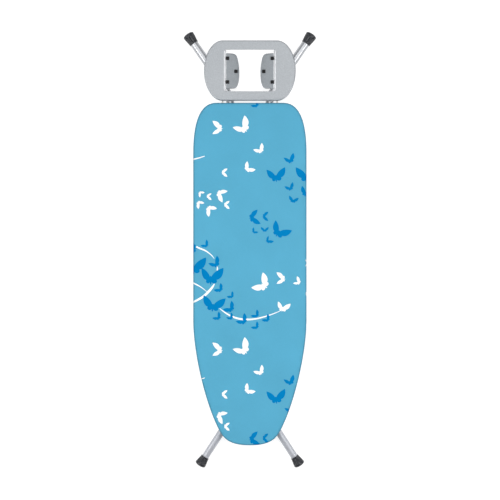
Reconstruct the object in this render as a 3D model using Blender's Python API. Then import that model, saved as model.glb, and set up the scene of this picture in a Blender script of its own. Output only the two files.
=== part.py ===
"""Folding ironing board, lying folded flat with its ironing surface up.

Frame: metres, +Z up, +Y towards the tail and the iron rest, X across the board. The origin is on
the floor, under the bolt where the two legs cross, which is also the middle of the overall length.

The board stands on scissor legs. The rear leg hangs from two fixed brackets under the nose half and
its feet stick out past the tail. The front leg crosses it at the middle bolts; its feet stick out
past the nose, and its top end carries a rod that slides in two notched rack plates. Both legs are
as long above the crossing as each other, so the board stays level and the rod runs straight.
"""
import math

import bmesh
import bpy
from mathutils import Vector

# ---------------------------------------------------------------- driving dimensions
CLEARANCE = 0.0003           # gap kept between two pieces that touch

# Board outline: half widths and distances from the nose tip or the tail edge
NOSE_Y = -0.685
TAIL_Y = 0.515
HALF_WIDTH = 0.1985
NOSE_ROUND = ((0.0, 0.0), (0.070, 0.0), (0.0905, 0.0212), (0.107, 0.052))
NOSE_FLARE = ((0.107, 0.052), (0.154, 0.140), (HALF_WIDTH, 0.320), (HALF_WIDTH, 0.440))
TAIL_CORNER = ((HALF_WIDTH, 0.176), (HALF_WIDTH, 0.080), (0.180, 0.0), (0.118, 0.0))

# Heights of the layers
LEG_Z = 0.020                # plane of both folded legs, and of every pivot
HEM_Z = 0.036
COVER_THICKNESS = 0.001
RIM_RADIUS = 0.008
RIM_WALL = 0.0012
RIM_Z = HEM_Z + COVER_THICKNESS + CLEARANCE + RIM_RADIUS
MESH_Z = RIM_Z + RIM_RADIUS + CLEARANCE
MESH_INSET = 0.004           # deck's edge inside the rim's outer side
MESH_THICKNESS = 0.0005
PAD_Z = MESH_Z + MESH_THICKNESS + CLEARANCE
PAD_THICKNESS = 0.0053
PAD_ROUNDING = 0.0012
COVER_TOP_Z = PAD_Z + PAD_THICKNESS + CLEARANCE + COVER_THICKNESS
COVER_FOLD = 0.0022          # rounding of the cover's top edge
HEM_FOLD = 0.0015            # and of the fold under the rim
HEM_WIDTH = 0.040
ELASTIC_FROM_HEM = 0.004     # elastic's centre to the hem's inner edge
ELASTIC_RADIUS = 0.0015

# Scissor legs
PIVOT_REACH = 0.400          # crossing bolt to the top pivot of either leg
FOOT_REACH = 0.7585          # crossing bolt to the end of either leg's feet, along Y
FOOT_UNDERSIDE = 0.0131      # foot's lowest point below its leg's end, with the board standing
TOP_STUB = 0.011             # tube past its top pivot
LEG_WALL = 0.001
REAR = {"x": 0.069, "radius": 0.014, "bend_y": 0.5415, "angle": math.radians(34.5),
        "cap_radius": 0.02039, "cap_neck": 0.0153, "cap_length": 0.038}
FRONT = {"x": 0.030, "radius": 0.0125, "bend_y": 0.5335, "angle": math.radians(33.0),
         "cap_radius": 0.0194, "cap_neck": 0.0138, "cap_length": 0.034}
BEND_RADIUS = 0.095
CAP_DOME = 0.003
CAP_SOLID = 0.0085           # rubber between the tube's end and the foot's end plane
PIN_RADIUS = 0.004
PIN_HOLE = 0.0043
BOLT_HEAD_RADIUS = 0.008
SPACER_RADIUS = 0.009
NUT_RADIUS = 0.0075
NUT_LENGTH = 0.0055
GLIDE_RADIUS = 0.007
REAR_BRACE_Y = 0.475
REAR_BRACE_RADIUS = 0.010
FRONT_BRACE_RADIUS = 0.008
FRONT_BRACE_YS = {"front_brace_lower": -0.470, "front_brace_upper": 0.060}

# Frame under the deck
CROSS_WIDTH = 0.025
CROSS_HEIGHT = 0.012
CROSS_WALL = 0.0012
CROSS_YS = {"cross_member_front": -0.405, "cross_member_middle": 0.085, "cross_member_rear": 0.440}
CROSS_Z = MESH_Z - CLEARANCE - CROSS_HEIGHT
SHEET = 0.0018               # brackets and rack plates
BRACKET_LENGTH = 0.036
BRACKET_DROP = 0.011         # sheet below a pivot's centre

# Height adjustment: rod positions for the five working heights, and for storage
WORK_HEIGHTS = (0.92, 0.88, 0.84, 0.80, 0.75)
RACK_X = 0.0455
RACK_YS = (0.100, 0.426)
RACK_FLANGE = {-1: 0.060, 1: 0.070}
RACK_UNDER_LANE = 0.005      # plate below the rod's lane
LANE_HALF = 0.0044
NOTCH_RISE = 0.0055
NOTCH_STEEP = 0.003          # notch behind the rod's centre, and its ramp out of the lane
NOTCH_RAMP = 0.009
ROD_HALF = 0.0533
ROD_HEAD = 0.002
ROD_HEAD_RADIUS = 0.0055

# Release lever
SHAFT_X = 0.060
SHAFT_Z = 0.047
SHAFT_YS = (0.102, 0.418)
SHAFT_HEAD = 0.002
SHAFT_HEAD_RADIUS = 0.0053
BEARING_YS = {"lever_bearing_front": 0.111, "lever_bearing_rear": 0.409}
BEARING_HALF = (0.007, 0.005)
PUSH_BAR_YS = (0.119, 0.256)
PUSH_BAR_HALF_X = 0.012
PUSH_BAR_Z = 0.0322          # underside of the strip that pushes the rod out of a notch
LEVER_SHEET = 0.002
ARM_YS = (0.286, 0.308)
ARM_SHEET = 0.0024
ARM_CRANK_XS = (0.0920, 0.0995)
ARM_END_X = 0.118
GRIP_TOP_Z = 0.0277
GRIP_CENTRE = (0.125, 0.297)
GRIP_HALF = (0.024, 0.046)
GRIP_CORNER = 0.010
GRIP_THICKNESS = 0.009
GRIP_ROUNDING = 0.002
SPRING_WIRE = 0.0007
SPRING_COIL = 0.0050
SPRING_START_Y = 0.262
SPRING_PITCH = 0.0026
SPRING_TURNS = 4.5
SPRING_STEPS = 12            # points to a turn

# Iron rest
REST_Y = 0.630
REST_STRAIGHT = 0.096
REST_END_X = 0.0655
REST_HALF_Y = 0.1065
REST_SHEET = 0.0015
WIRE_RADIUS = 0.003
REST_WIRE_Z = 0.038
REST_Z = REST_WIRE_Z + WIRE_RADIUS + CLEARANCE
REST_FLANGE = 0.0048
WINDOW_HALF_X = 0.0905
WINDOW_HALF_Y = 0.073
WINDOW_CORNER = 0.007
WING_TILT = math.radians(12.0)
WING_SHEET = 0.0013          # a little thinner than the ring, so that the bend stays inside it
WING_DEPTH = 0.0535
WING_YS = (-0.065, 0.061)
WING_CORNER = 0.016
WING_BULGE = 0.001           # middle of a wing's free edge past its ends
REST_PAD_SIZE = 0.011
REST_PAD_HEIGHT = 0.0022
REST_PAD_SPOTS = {"front": (0.0787, -0.0415), "middle": (0.049, -0.0045), "rear": (0.0787, 0.0415)}

SIDES = {"left": -1, "right": 1}
ALONG_X = Vector((1.0, 0.0, 0.0))
ALONG_Y = Vector((0.0, 1.0, 0.0))
ALONG_Z = Vector((0.0, 0.0, 1.0))

# Colour, metallic, roughness
FINISHES = {
    "leg_paint": ((0.62, 0.64, 0.67), 0.55, 0.35),
    "frame_paint": ((0.55, 0.57, 0.60), 0.50, 0.42),
    "galvanised": ((0.60, 0.61, 0.63), 0.80, 0.45),
    "zinc": ((0.66, 0.67, 0.68), 0.95, 0.30),
    "rest_paint": ((0.44, 0.46, 0.48), 0.40, 0.45),
    "black_rubber": ((0.030, 0.030, 0.032), 0.0, 0.75),
    "black_plastic": ((0.020, 0.020, 0.022), 0.0, 0.45),
    "white_nylon": ((0.75, 0.75, 0.72), 0.0, 0.50),
    "felt": ((0.62, 0.62, 0.58), 0.0, 0.95),
    "cover_fabric": ((0.109, 0.434, 0.645), 0.0, 0.85),
    "elastic": ((0.80, 0.80, 0.78), 0.0, 0.80),
}


# ---------------------------------------------------------------- scene and materials
def clear_scene():
    for obj in list(bpy.data.objects):
        bpy.data.objects.remove(obj, do_unlink=True)


def finish(name):
    material = bpy.data.materials.get(name)
    if material is None:
        colour, metallic, roughness = FINISHES[name]
        material = bpy.data.materials.new(name)
        material.use_nodes = True
        shader = material.node_tree.nodes["Principled BSDF"]
        shader.inputs["Base Color"].default_value = (*colour, 1.0)
        shader.inputs["Metallic"].default_value = metallic
        shader.inputs["Roughness"].default_value = roughness
        material.diffuse_color = (*colour, 1.0)
    return material


def add_empty(name, location, parent=None):
    """A joint's axis; location is in world coordinates."""
    empty = bpy.data.objects.new(name, None)
    bpy.context.collection.objects.link(empty)
    empty["axis_point"] = location
    empty.location = Vector(location) - Vector(parent["axis_point"] if parent else (0, 0, 0))
    empty.parent = parent
    return empty


# ---------------------------------------------------------------- mesh building
def add_object(name, verts, faces, material, parent=None):
    """An object from world coordinates. Its origin goes to its parent's joint axis."""
    mesh = bpy.data.meshes.new(name)
    shift = Vector(parent["axis_point"]) if parent else Vector((0.0, 0.0, 0.0))
    mesh.from_pydata([Vector(v) - shift for v in verts], [], faces)
    shaped = bmesh.new()
    shaped.from_mesh(mesh)
    bmesh.ops.recalc_face_normals(shaped, faces=shaped.faces)
    shaped.to_mesh(mesh)
    shaped.free()
    mesh.materials.append(finish(material))
    mesh.shade_smooth()
    mesh.set_sharp_from_angle(angle=math.radians(35))
    obj = bpy.data.objects.new(name, mesh)
    bpy.context.collection.objects.link(obj)
    obj.parent = parent
    return obj


def ring_faces(first, second, count):
    """Quads between two rings of count points, given by their first indices."""
    return [(first + i, first + (i + 1) % count, second + (i + 1) % count, second + i)
            for i in range(count)]


def skin(rings, closed):
    """Points and faces of a surface through rings; open ends get a flat cap."""
    count = len(rings[0])
    verts = [point for ring in rings for point in ring]
    faces = []
    for k in range(len(rings) - 1):
        faces += ring_faces(k * count, (k + 1) * count, count)
    last = (len(rings) - 1) * count
    if closed:
        faces += ring_faces(last, 0, count)
    else:
        faces.append(tuple(range(count)))
        faces.append(tuple(range(last, last + count)))
    return verts, faces


def path_rings(path, radius, sides, up, closed):
    """A circle of points round each point of a path, square to it and mitred."""
    rings = []
    count = len(path)
    for i, point in enumerate(path):
        before = path[i - 1] if (closed or i) else None
        after = path[(i + 1) % count] if (closed or i < count - 1) else None
        ahead = (after - point).normalized() if after is not None else None
        behind = (point - before).normalized() if before is not None else ahead
        ahead = ahead if ahead is not None else behind
        tangent = (ahead + behind).normalized()
        across = tangent.cross(up).normalized()
        rise = across.cross(tangent)
        stretch = 1.0 / max(0.5, tangent.dot(ahead))
        turned = (ahead - behind)
        bends_across = abs(turned.dot(across)) >= abs(turned.dot(rise))
        wide = radius * (stretch if bends_across else 1.0)
        tall = radius * (1.0 if bends_across else stretch)
        rings.append([point + across * (wide * math.cos(a)) + rise * (tall * math.sin(a))
                      for a in (math.tau * (k + 0.5) / sides for k in range(sides))])
    return rings


def add_rod(name, path, radius, material, sides=8, up=ALONG_Z, closed=False, parent=None):
    """A solid round rod along a path."""
    verts, faces = skin(path_rings(path, radius, sides, up, closed), closed)
    return add_object(name, verts, faces, material, parent)


def add_pipe(name, path, radius, wall, material, sides=12, up=ALONG_Z, parent=None):
    """A hollow tube along an open path, open at both ends."""
    outer = path_rings(path, radius, sides, up, False)
    inner = path_rings(path, radius - wall, sides, up, False)
    verts, faces = skin(outer + inner[::-1], True)
    return add_object(name, verts, faces, material, parent)


def add_turned(name, profile, start, axis, material, sides=16, parent=None, closed=False):
    """A piece turned about a level axis: profile holds (distance along it, radius).

    A closed profile has a bore.
    """
    side = axis.cross(ALONG_Z)
    spokes = [side * math.cos(a) + ALONG_Z * math.sin(a)
              for a in (math.tau * (k + 0.5) / sides for k in range(sides))]
    rings = [[start + axis * along + spoke * radius for spoke in spokes]
             for along, radius in profile]
    verts, faces = skin(rings, closed)
    return add_object(name, verts, faces, material, parent)


def add_prism(name, outline, axis, low, high, material, parent=None):
    """An outline pushed along axis. Outline points are the other two coordinates, in order."""
    order = {"x": lambda a, b, c: (c, a, b), "y": lambda a, b, c: (a, c, b),
             "z": lambda a, b, c: (a, b, c)}[axis]
    rings = [[order(a, b, level) for a, b in outline] for level in (low, high)]
    verts, faces = skin(rings, False)
    return add_object(name, verts, faces, material, parent)


def combine(obj, tool, operation):
    """Cuts or joins tool into obj for good, and removes tool."""
    modifier = obj.modifiers.new("combine", "BOOLEAN")
    modifier.operation = operation
    modifier.solver = "EXACT"
    modifier.object = tool
    bpy.context.view_layer.update()
    evaluated = obj.evaluated_get(bpy.context.evaluated_depsgraph_get())
    result = bpy.data.meshes.new_from_object(evaluated)
    obj.modifiers.remove(modifier)
    old = obj.data
    obj.data = result
    bpy.data.meshes.remove(old)
    result.name = obj.name
    bpy.data.objects.remove(tool, do_unlink=True)
    shaped = bmesh.new()
    shaped.from_mesh(result)
    bmesh.ops.dissolve_degenerate(shaped, dist=1e-6, edges=shaped.edges)
    shaped.to_mesh(result)
    shaped.free()
    result.shade_smooth()
    result.set_sharp_from_angle(angle=math.radians(35))


def drill_across(obj, y, z, x_low, x_high):
    """A pin hole along X."""
    length = x_high - x_low
    start = Vector((x_low, y, z))
    tool = add_turned("drill", ((0.0, PIN_HOLE), (length, PIN_HOLE)), start, ALONG_X, "zinc")
    combine(obj, tool, "DIFFERENCE")


def bevel_all(obj, width, segments=2):
    modifier = obj.modifiers.new("round_edges", "BEVEL")
    modifier.width = width
    modifier.segments = segments
    modifier.limit_method = "ANGLE"


# ---------------------------------------------------------------- outlines
def bezier(points, steps):
    """Points along a cubic curve, from its start up to but not including its end."""
    a, b, c, d = (Vector(p) for p in points)
    spots = (i / steps for i in range(steps))
    return [a * (1 - t) ** 3 + b * (3 * t * (1 - t) ** 2) + c * (3 * t * t * (1 - t)) + d * t ** 3
            for t in spots]


def board_outline():
    """The board's edge, anticlockwise from the nose tip."""
    right = [(p.x, NOSE_Y + p.y) for p in bezier(NOSE_ROUND, 5) + bezier(NOSE_FLARE, 7)]
    right.append((HALF_WIDTH, NOSE_Y + NOSE_FLARE[-1][1]))
    right += [(p.x, TAIL_Y - p.y) for p in bezier(TAIL_CORNER, 6)]
    right.append((TAIL_CORNER[-1][0], TAIL_Y))
    left = [(-x, y) for x, y in reversed(right[1:])]
    return [Vector(p) for p in right + left]


def inset(outline, distance):
    """An anticlockwise outline moved inwards by a distance."""
    moved = []
    for i, point in enumerate(outline):
        behind = (point - outline[i - 1]).normalized()
        ahead = (outline[(i + 1) % len(outline)] - point).normalized()
        bisector = (behind + ahead).normalized()
        inward = Vector((-bisector.y, bisector.x))
        moved.append(point + inward * (distance / bisector.dot(ahead)))
    return moved


def half_width_between(outline, y_low, y_high):
    """The smallest half width of an outline over a stretch of Y."""
    widths = []
    for i, point in enumerate(outline):
        after = outline[(i + 1) % len(outline)]
        for y in (y_low, y_high):
            if min(point.y, after.y) <= y <= max(point.y, after.y) and after.y != point.y:
                share = (y - point.y) / (after.y - point.y)
                widths.append(abs(point.x + share * (after.x - point.x)))
    return min(widths)


def at_height(outline, z):
    return [Vector((p.x, p.y, z)) for p in outline]


def arc(centre, radius, start, end, steps):
    """Points on an arc, both ends included; angles in degrees."""
    turns = (math.radians(start + (end - start) * i / steps) for i in range(steps + 1))
    return [Vector((centre[0] + radius * math.cos(a), centre[1] + radius * math.sin(a)))
            for a in turns]


def rounded_box(half_x, half_y, radius, steps):
    """A rounded rectangle about the origin, anticlockwise."""
    points = []
    for start, sx, sy in ((0, 1, 1), (90, -1, 1), (180, -1, -1), (270, 1, -1)):
        centre = (sx * (half_x - radius), sy * (half_y - radius))
        points += arc(centre, radius, start, start + 90, steps)
    return points


# ---------------------------------------------------------------- board
def make_rim():
    """The steel tube round the board, butted at the middle of the tail."""
    line = inset(board_outline(), COVER_THICKNESS + CLEARANCE + RIM_RADIUS)
    corner = max(range(len(line)), key=lambda i: (line[i].y, line[i].x))
    line = line[corner + 1:] + line[:corner + 1]
    joint_y = line[0].y
    line = [Vector((-CLEARANCE, joint_y))] + line + [Vector((CLEARANCE, joint_y))]
    add_pipe("rim_tube", at_height(line, RIM_Z), RIM_RADIUS, RIM_WALL, "frame_paint", sides=8)


def make_deck():
    """The deck sheet that lies on the rim and the cross members."""
    edge = inset(board_outline(), COVER_THICKNESS + CLEARANCE + MESH_INSET)
    add_prism("mesh_deck", edge, "z", MESH_Z, MESH_Z + MESH_THICKNESS, "galvanised")


def make_cross_members():
    inner = inset(board_outline(), COVER_THICKNESS + 2 * CLEARANCE + 2 * RIM_RADIUS)
    for name, y in CROSS_YS.items():
        half = half_width_between(inner, y - CROSS_WIDTH / 2, y + CROSS_WIDTH / 2) - CLEARANCE
        rings = []
        for x, wall in ((-half, 0.0), (half, 0.0), (half, CROSS_WALL), (-half, CROSS_WALL)):
            low_y, high_y = y - CROSS_WIDTH / 2 + wall, y + CROSS_WIDTH / 2 - wall
            low_z, high_z = CROSS_Z + wall, CROSS_Z + CROSS_HEIGHT - wall
            rings.append([(x, low_y, low_z), (x, high_y, low_z), (x, high_y, high_z),
                          (x, low_y, high_z)])
        verts, faces = skin(rings, True)
        add_object(name, verts, faces, "frame_paint")


def make_pad():
    edge = inset(board_outline(), COVER_THICKNESS + CLEARANCE)
    top = PAD_Z + PAD_THICKNESS
    rings = [at_height(inset(edge, PAD_ROUNDING), PAD_Z),
             at_height(edge, PAD_Z + PAD_ROUNDING),
             at_height(edge, top - PAD_ROUNDING),
             at_height(inset(edge, PAD_ROUNDING), top)]
    verts, faces = skin(rings, False)
    add_object("underlay_pad", verts, faces, "felt")


def make_cover():
    """The fitted cover: top sheet, side and the hem turned in under the rim."""
    outline = board_outline()
    t = COVER_THICKNESS
    fold, hem = COVER_FOLD - t, HEM_FOLD - t / 2
    outside = ((COVER_FOLD, COVER_TOP_Z), (0.0, COVER_TOP_Z - COVER_FOLD), (0.0, HEM_Z + HEM_FOLD),
               (HEM_FOLD, HEM_Z), (HEM_WIDTH, HEM_Z))
    inside = ((HEM_WIDTH, HEM_Z + t), (t + hem, HEM_Z + t), (t, HEM_Z + t + hem),
              (t, COVER_TOP_Z - t - fold), (t + fold, COVER_TOP_Z - t))
    rings = [at_height(inset(outline, distance), z) for distance, z in outside + inside]
    verts, faces = skin(rings, False)
    add_object("cover", verts, faces, "cover_fabric")


def make_hem_elastic():
    """The elastic in the hem, one closed loop."""
    line = inset(board_outline(), HEM_WIDTH - ELASTIC_FROM_HEM)
    level = HEM_Z + COVER_THICKNESS + CLEARANCE + ELASTIC_RADIUS
    add_rod("hem_elastic", at_height(line, level), ELASTIC_RADIUS, "elastic", sides=6, closed=True)


# ---------------------------------------------------------------- pivots and racks
def make_pivot_brackets():
    """Two clevis brackets, open downwards, that hold the rear leg's top ends."""
    y = -PIVOT_REACH
    gap = REAR["radius"] + 0.0005
    low, high = LEG_Z - BRACKET_DROP, CROSS_Z - CLEARANCE
    web = high - SHEET
    for side, s in SIDES.items():
        inner, outer = s * REAR["x"] - gap, s * REAR["x"] + gap
        profile = ((inner - SHEET, low), (inner, low), (inner, web), (outer, web), (outer, low),
                   (outer + SHEET, low), (outer + SHEET, high), (inner - SHEET, high))
        bracket = add_prism(f"pivot_bracket_{side}", profile, "y", y - BRACKET_LENGTH / 2,
                            y + BRACKET_LENGTH / 2, "frame_paint")
        drill_across(bracket, y, LEG_Z, inner - 2 * SHEET, outer + 2 * SHEET)
        head = outer + SHEET + CLEARANCE - s * REAR["x"]
        profile = ((-head - 0.003, 0.0035), (-head - 0.0015, 0.006), (-head, 0.006),
                   (-head, PIN_RADIUS), (head, PIN_RADIUS), (head, 0.007), (head + 0.0015, 0.007),
                   (head + 0.003, 0.004))
        add_turned(f"pivot_pin_{side}", profile, Vector((s * REAR["x"], y, LEG_Z)), ALONG_X * s,
                   "zinc")


def rod_place(height):
    """Where the rod is along Y when the ironing surface stands at a height."""
    legs = 2 * PIVOT_REACH
    reach = PIVOT_REACH + FOOT_REACH
    angle = math.asin((height - (COVER_TOP_Z - LEG_Z) - FOOT_UNDERSIDE) / reach)
    return -PIVOT_REACH + legs * math.cos(angle)


def rack_slot():
    """The rod's lane, with a notch for each working height: steep side towards the tail."""
    places = sorted(rod_place(h) for h in WORK_HEIGHTS)
    low, high = LEG_Z - LANE_HALF, LEG_Z + LANE_HALF
    points = [(places[0] - LANE_HALF, high), (places[0] - LANE_HALF, low),
              (PIVOT_REACH + LANE_HALF, low), (PIVOT_REACH + LANE_HALF, high)]
    for y in reversed(places):
        points += [(y + LANE_HALF, high), (y + LANE_HALF, high + NOTCH_RISE),
                   (y - NOTCH_STEEP, high + NOTCH_RISE), (y - NOTCH_RAMP, high)]
    return points[:-1]


def make_racks():
    """Two notched plates outside the front leg's tubes, each with a flange under the frame."""
    high = CROSS_Z - CLEARANCE
    web = high - SHEET
    bottom = LEG_Z - LANE_HALF - RACK_UNDER_LANE
    for side, s in SIDES.items():
        near, far = RACK_X, RACK_X + SHEET
        profile = [(s * x, z) for x, z in ((near, bottom), (far, bottom), (far, web),
                                           (RACK_FLANGE[s], web), (RACK_FLANGE[s], high),
                                           (near, high))]
        rack = add_prism(f"rack_plate_{side}", profile, "y", *RACK_YS, "galvanised")
        low_x, high_x = sorted((s * (near - SHEET), s * (far + SHEET)))
        cutter = add_prism("slot_cutter", rack_slot(), "x", low_x, high_x, "zinc")
        combine(rack, cutter, "DIFFERENCE")


# ---------------------------------------------------------------- legs
def leg_path(leg, s, towards):
    """Centre line of one leg tube from its top end to its foot; towards is the foot's Y sign."""
    start = Vector((s * leg["x"], -towards * (PIVOT_REACH + TOP_STUB), LEG_Z))
    corner = Vector((s * leg["x"], towards * leg["bend_y"], LEG_Z))
    tangent = BEND_RADIUS * math.tan(leg["angle"] / 2)
    centre = Vector((corner.x + s * BEND_RADIUS, corner.y - towards * tangent, LEG_Z))
    bend = []
    for k in range(5):
        turn = leg["angle"] * k / 4
        bend.append(centre + Vector((-s * BEND_RADIUS * math.cos(turn),
                                     towards * BEND_RADIUS * math.sin(turn), 0.0)))
    foot, direction = leg_foot(leg, s, towards)
    return [start] + bend + [foot - direction * CAP_SOLID]


def leg_foot(leg, s, towards):
    """Centre of a foot's end plane and the direction that the leg points there."""
    direction = Vector((s * math.sin(leg["angle"]), towards * math.cos(leg["angle"]), 0.0))
    spread = (FOOT_REACH - leg["bend_y"]) * math.tan(leg["angle"])
    return Vector((s * (leg["x"] + spread), towards * FOOT_REACH, LEG_Z)), direction


def make_leg_side(prefix, leg, side, towards, parent):
    """One tube of a leg with its rubber foot and its end plug."""
    s = SIDES[side]
    radius, neck, wide = leg["radius"], leg["cap_neck"], leg["cap_radius"]
    tube = add_pipe(f"{prefix}_tube_{side}", leg_path(leg, s, towards), radius, LEG_WALL,
                    "leg_paint", parent=parent)
    for y in (0.0, -towards * PIVOT_REACH):
        drill_across(tube, y, LEG_Z, s * leg["x"] - 1.5 * radius, s * leg["x"] + 1.5 * radius)

    foot, direction = leg_foot(leg, s, towards)
    bore = radius + CLEARANCE
    cup = ((CAP_DOME, wide * 0.55), (0.0, wide - 0.002), (-0.003, wide),
           (-leg["cap_length"], neck), (-leg["cap_length"], bore),
           (-CAP_SOLID + CLEARANCE, bore))
    add_turned(f"{prefix}_foot_{side}", cup, foot, direction, "black_rubber", parent=parent)

    end = Vector((s * leg["x"], -towards * (PIVOT_REACH + TOP_STUB), LEG_Z))
    shank = (radius - LEG_WALL) * math.cos(math.pi / 12) - CLEARANCE
    plug = ((-0.005, shank - 0.001), (-0.004, shank), (CLEARANCE, shank),
            (CLEARANCE, radius - 0.0015), (0.0012, radius - 0.002), (0.0018, radius * 0.5))
    add_turned(f"{prefix}_plug_{side}", plug, end, ALONG_Y * -towards, "black_plastic", sides=12,
               parent=parent)


def add_brace(name, y, half_length, radius, parent):
    path = [Vector((x, y, LEG_Z)) for x in (-half_length, half_length)]
    return add_pipe(name, path, radius, LEG_WALL, "leg_paint", parent=parent)


def make_rear_leg(parent):
    """The outer leg, with the middle bolts that it shares with the front leg."""
    for side in SIDES:
        make_leg_side("rear", REAR, side, 1, parent)
    add_brace("rear_brace", REAR_BRACE_Y, REAR["x"] - REAR["radius"] - CLEARANCE,
              REAR_BRACE_RADIUS, parent)

    inner_face = FRONT["x"] - FRONT["radius"]
    spacer = (FRONT["x"] + FRONT["radius"] + CLEARANCE, REAR["x"] - REAR["radius"] - CLEARANCE)
    head = REAR["x"] + REAR["radius"] + CLEARANCE
    nut = (inner_face - CLEARANCE - NUT_LENGTH, inner_face - CLEARANCE)
    for side, s in SIDES.items():
        bolt = ((nut[0] - 0.001, PIN_RADIUS - 0.0008), (nut[0] - 0.0003, PIN_RADIUS),
                (head, PIN_RADIUS), (head, BOLT_HEAD_RADIUS),
                (head + 0.002, BOLT_HEAD_RADIUS - 0.0002), (head + 0.0045, BOLT_HEAD_RADIUS / 2))
        origin = Vector((0.0, 0.0, LEG_Z))
        add_turned(f"middle_bolt_{side}", bolt, origin, ALONG_X * s, "zinc", parent=parent)
        washer = ((spacer[0], SPACER_RADIUS), (spacer[1], SPACER_RADIUS), (spacer[1], PIN_HOLE),
                  (spacer[0], PIN_HOLE))
        add_turned(f"middle_spacer_{side}", washer, origin, ALONG_X * s, "white_nylon",
                   parent=parent, closed=True)
        hexagon = ((nut[0], NUT_RADIUS), (nut[1], NUT_RADIUS), (nut[1], PIN_HOLE + 0.0006),
                   (nut[0], PIN_HOLE + 0.0006))
        add_turned(f"middle_nut_{side}", hexagon, origin, ALONG_X * s, "zinc", sides=6,
                   parent=parent, closed=True)


def make_front_leg(parent):
    """The inner leg, with the rod and glides that ride in the racks."""
    for side in SIDES:
        make_leg_side("front", FRONT, side, -1, parent)
    for name, y in FRONT_BRACE_YS.items():
        add_brace(name, y, FRONT["x"] - FRONT["radius"] - CLEARANCE, FRONT_BRACE_RADIUS, parent)

    centre = Vector((0.0, PIVOT_REACH, LEG_Z))
    end = ((ROD_HALF - ROD_HEAD, PIN_RADIUS), (ROD_HALF - ROD_HEAD, ROD_HEAD_RADIUS),
           (ROD_HALF - ROD_HEAD / 3, ROD_HEAD_RADIUS), (ROD_HALF, PIN_RADIUS))
    rod = [(-along, radius) for along, radius in reversed(end)] + list(end)
    add_turned("slide_rod", rod, centre, ALONG_X, "zinc", parent=parent)
    near, far = RACK_X + SHEET + CLEARANCE, ROD_HALF - ROD_HEAD - CLEARANCE
    for side, s in SIDES.items():
        glide = ((near, GLIDE_RADIUS), (far - 0.0008, GLIDE_RADIUS), (far, GLIDE_RADIUS - 0.0008),
                 (far, PIN_HOLE), (near, PIN_HOLE))
        add_turned(f"slide_glide_{side}", glide, centre, ALONG_X * s, "white_nylon",
                   parent=parent, closed=True)


# ---------------------------------------------------------------- release lever
def make_lever_bearings():
    """Two nylon blocks on the right rack's flange that carry the lever's shaft."""
    half_x, half_y = BEARING_HALF
    top = SHAFT_Z + half_x * 0.8
    for name, y in BEARING_YS.items():
        outline = [(SHAFT_X + x, z) for x, z in (
            (-half_x, CROSS_Z), (half_x, CROSS_Z), (half_x, SHAFT_Z), (half_x / 2, top),
            (-half_x / 2, top), (-half_x, SHAFT_Z))]
        block = add_prism(name, outline, "y", y - half_y, y + half_y, "white_nylon")
        start = Vector((SHAFT_X, y - 2 * half_y, SHAFT_Z))
        drill = add_turned("drill", ((0.0, PIN_HOLE), (4 * half_y, PIN_HOLE)), start, ALONG_Y,
                           "zinc")
        combine(block, drill, "DIFFERENCE")


def make_lever_spring():
    """A torsion spring round the shaft: one tail on the rack's flange, one over the lever's arm."""
    path = [Vector((SHAFT_X + 0.013, SPRING_START_Y, CROSS_Z + SPRING_WIRE))]
    for i in range(int(SPRING_TURNS * SPRING_STEPS) + 1):
        turn = math.tau * i / SPRING_STEPS
        path.append(Vector((SHAFT_X - SPRING_COIL * math.sin(turn),
                            SPRING_START_Y + SPRING_PITCH * i / SPRING_STEPS,
                            SHAFT_Z - SPRING_COIL * math.cos(turn))))
    last_y, over_arm = path[-1].y, SHAFT_Z + 0.0045
    path.append(Vector((SHAFT_X + 0.007, last_y + 0.004, over_arm)))
    path.append(Vector((SHAFT_X + 0.012, last_y + 0.015, over_arm)))
    add_rod("lever_return_spring", path, SPRING_WIRE, "zinc", sides=5, up=ALONG_Y)


def make_release_lever(parent):
    """Shaft, push bar over the rod, and the arm with its grip under the board's right edge."""
    low_y, high_y = SHAFT_YS
    shaft = ((low_y - SHAFT_HEAD, SHAFT_HEAD_RADIUS), (low_y, SHAFT_HEAD_RADIUS),
             (low_y, PIN_RADIUS), (high_y, PIN_RADIUS), (high_y, SHAFT_HEAD_RADIUS),
             (high_y + SHAFT_HEAD, SHAFT_HEAD_RADIUS))
    add_turned("lever_shaft", shaft, Vector((SHAFT_X, 0.0, SHAFT_Z)), ALONG_Y, "zinc",
               parent=parent)

    sheet, half = LEVER_SHEET, PUSH_BAR_HALF_X
    edge, level = SHAFT_X - PIN_RADIUS - CLEARANCE, SHAFT_Z - LEVER_SHEET
    bar = ((edge, level), (edge, level + sheet), (half, level + sheet), (half, PUSH_BAR_Z + sheet),
           (-half, PUSH_BAR_Z + sheet), (-half, PUSH_BAR_Z), (half + sheet, PUSH_BAR_Z),
           (half + sheet, level))
    add_prism("lever_push_bar", bar, "y", *PUSH_BAR_YS, "galvanised", parent)

    edge, half = SHAFT_X + PIN_RADIUS + CLEARANCE, ARM_SHEET / 2
    tongue, slant = GRIP_TOP_Z + CLEARANCE, 0.0017
    high_x, low_x = ARM_CRANK_XS
    arm = ((edge, SHAFT_Z - half), (high_x, SHAFT_Z - half), (low_x, tongue), (ARM_END_X, tongue),
           (ARM_END_X, tongue + ARM_SHEET), (low_x + slant, tongue + ARM_SHEET),
           (high_x + slant, SHAFT_Z + half), (edge, SHAFT_Z + half))
    add_prism("lever_arm", arm, "y", *ARM_YS, "galvanised", parent)

    outline = [(GRIP_CENTRE[0] + p.x, GRIP_CENTRE[1] + p.y)
               for p in rounded_box(*GRIP_HALF, GRIP_CORNER, 3)]
    grip = add_prism("lever_grip", outline, "z", GRIP_TOP_Z - GRIP_THICKNESS, GRIP_TOP_Z,
                     "black_plastic", parent)
    bevel_all(grip, GRIP_ROUNDING)


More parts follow.
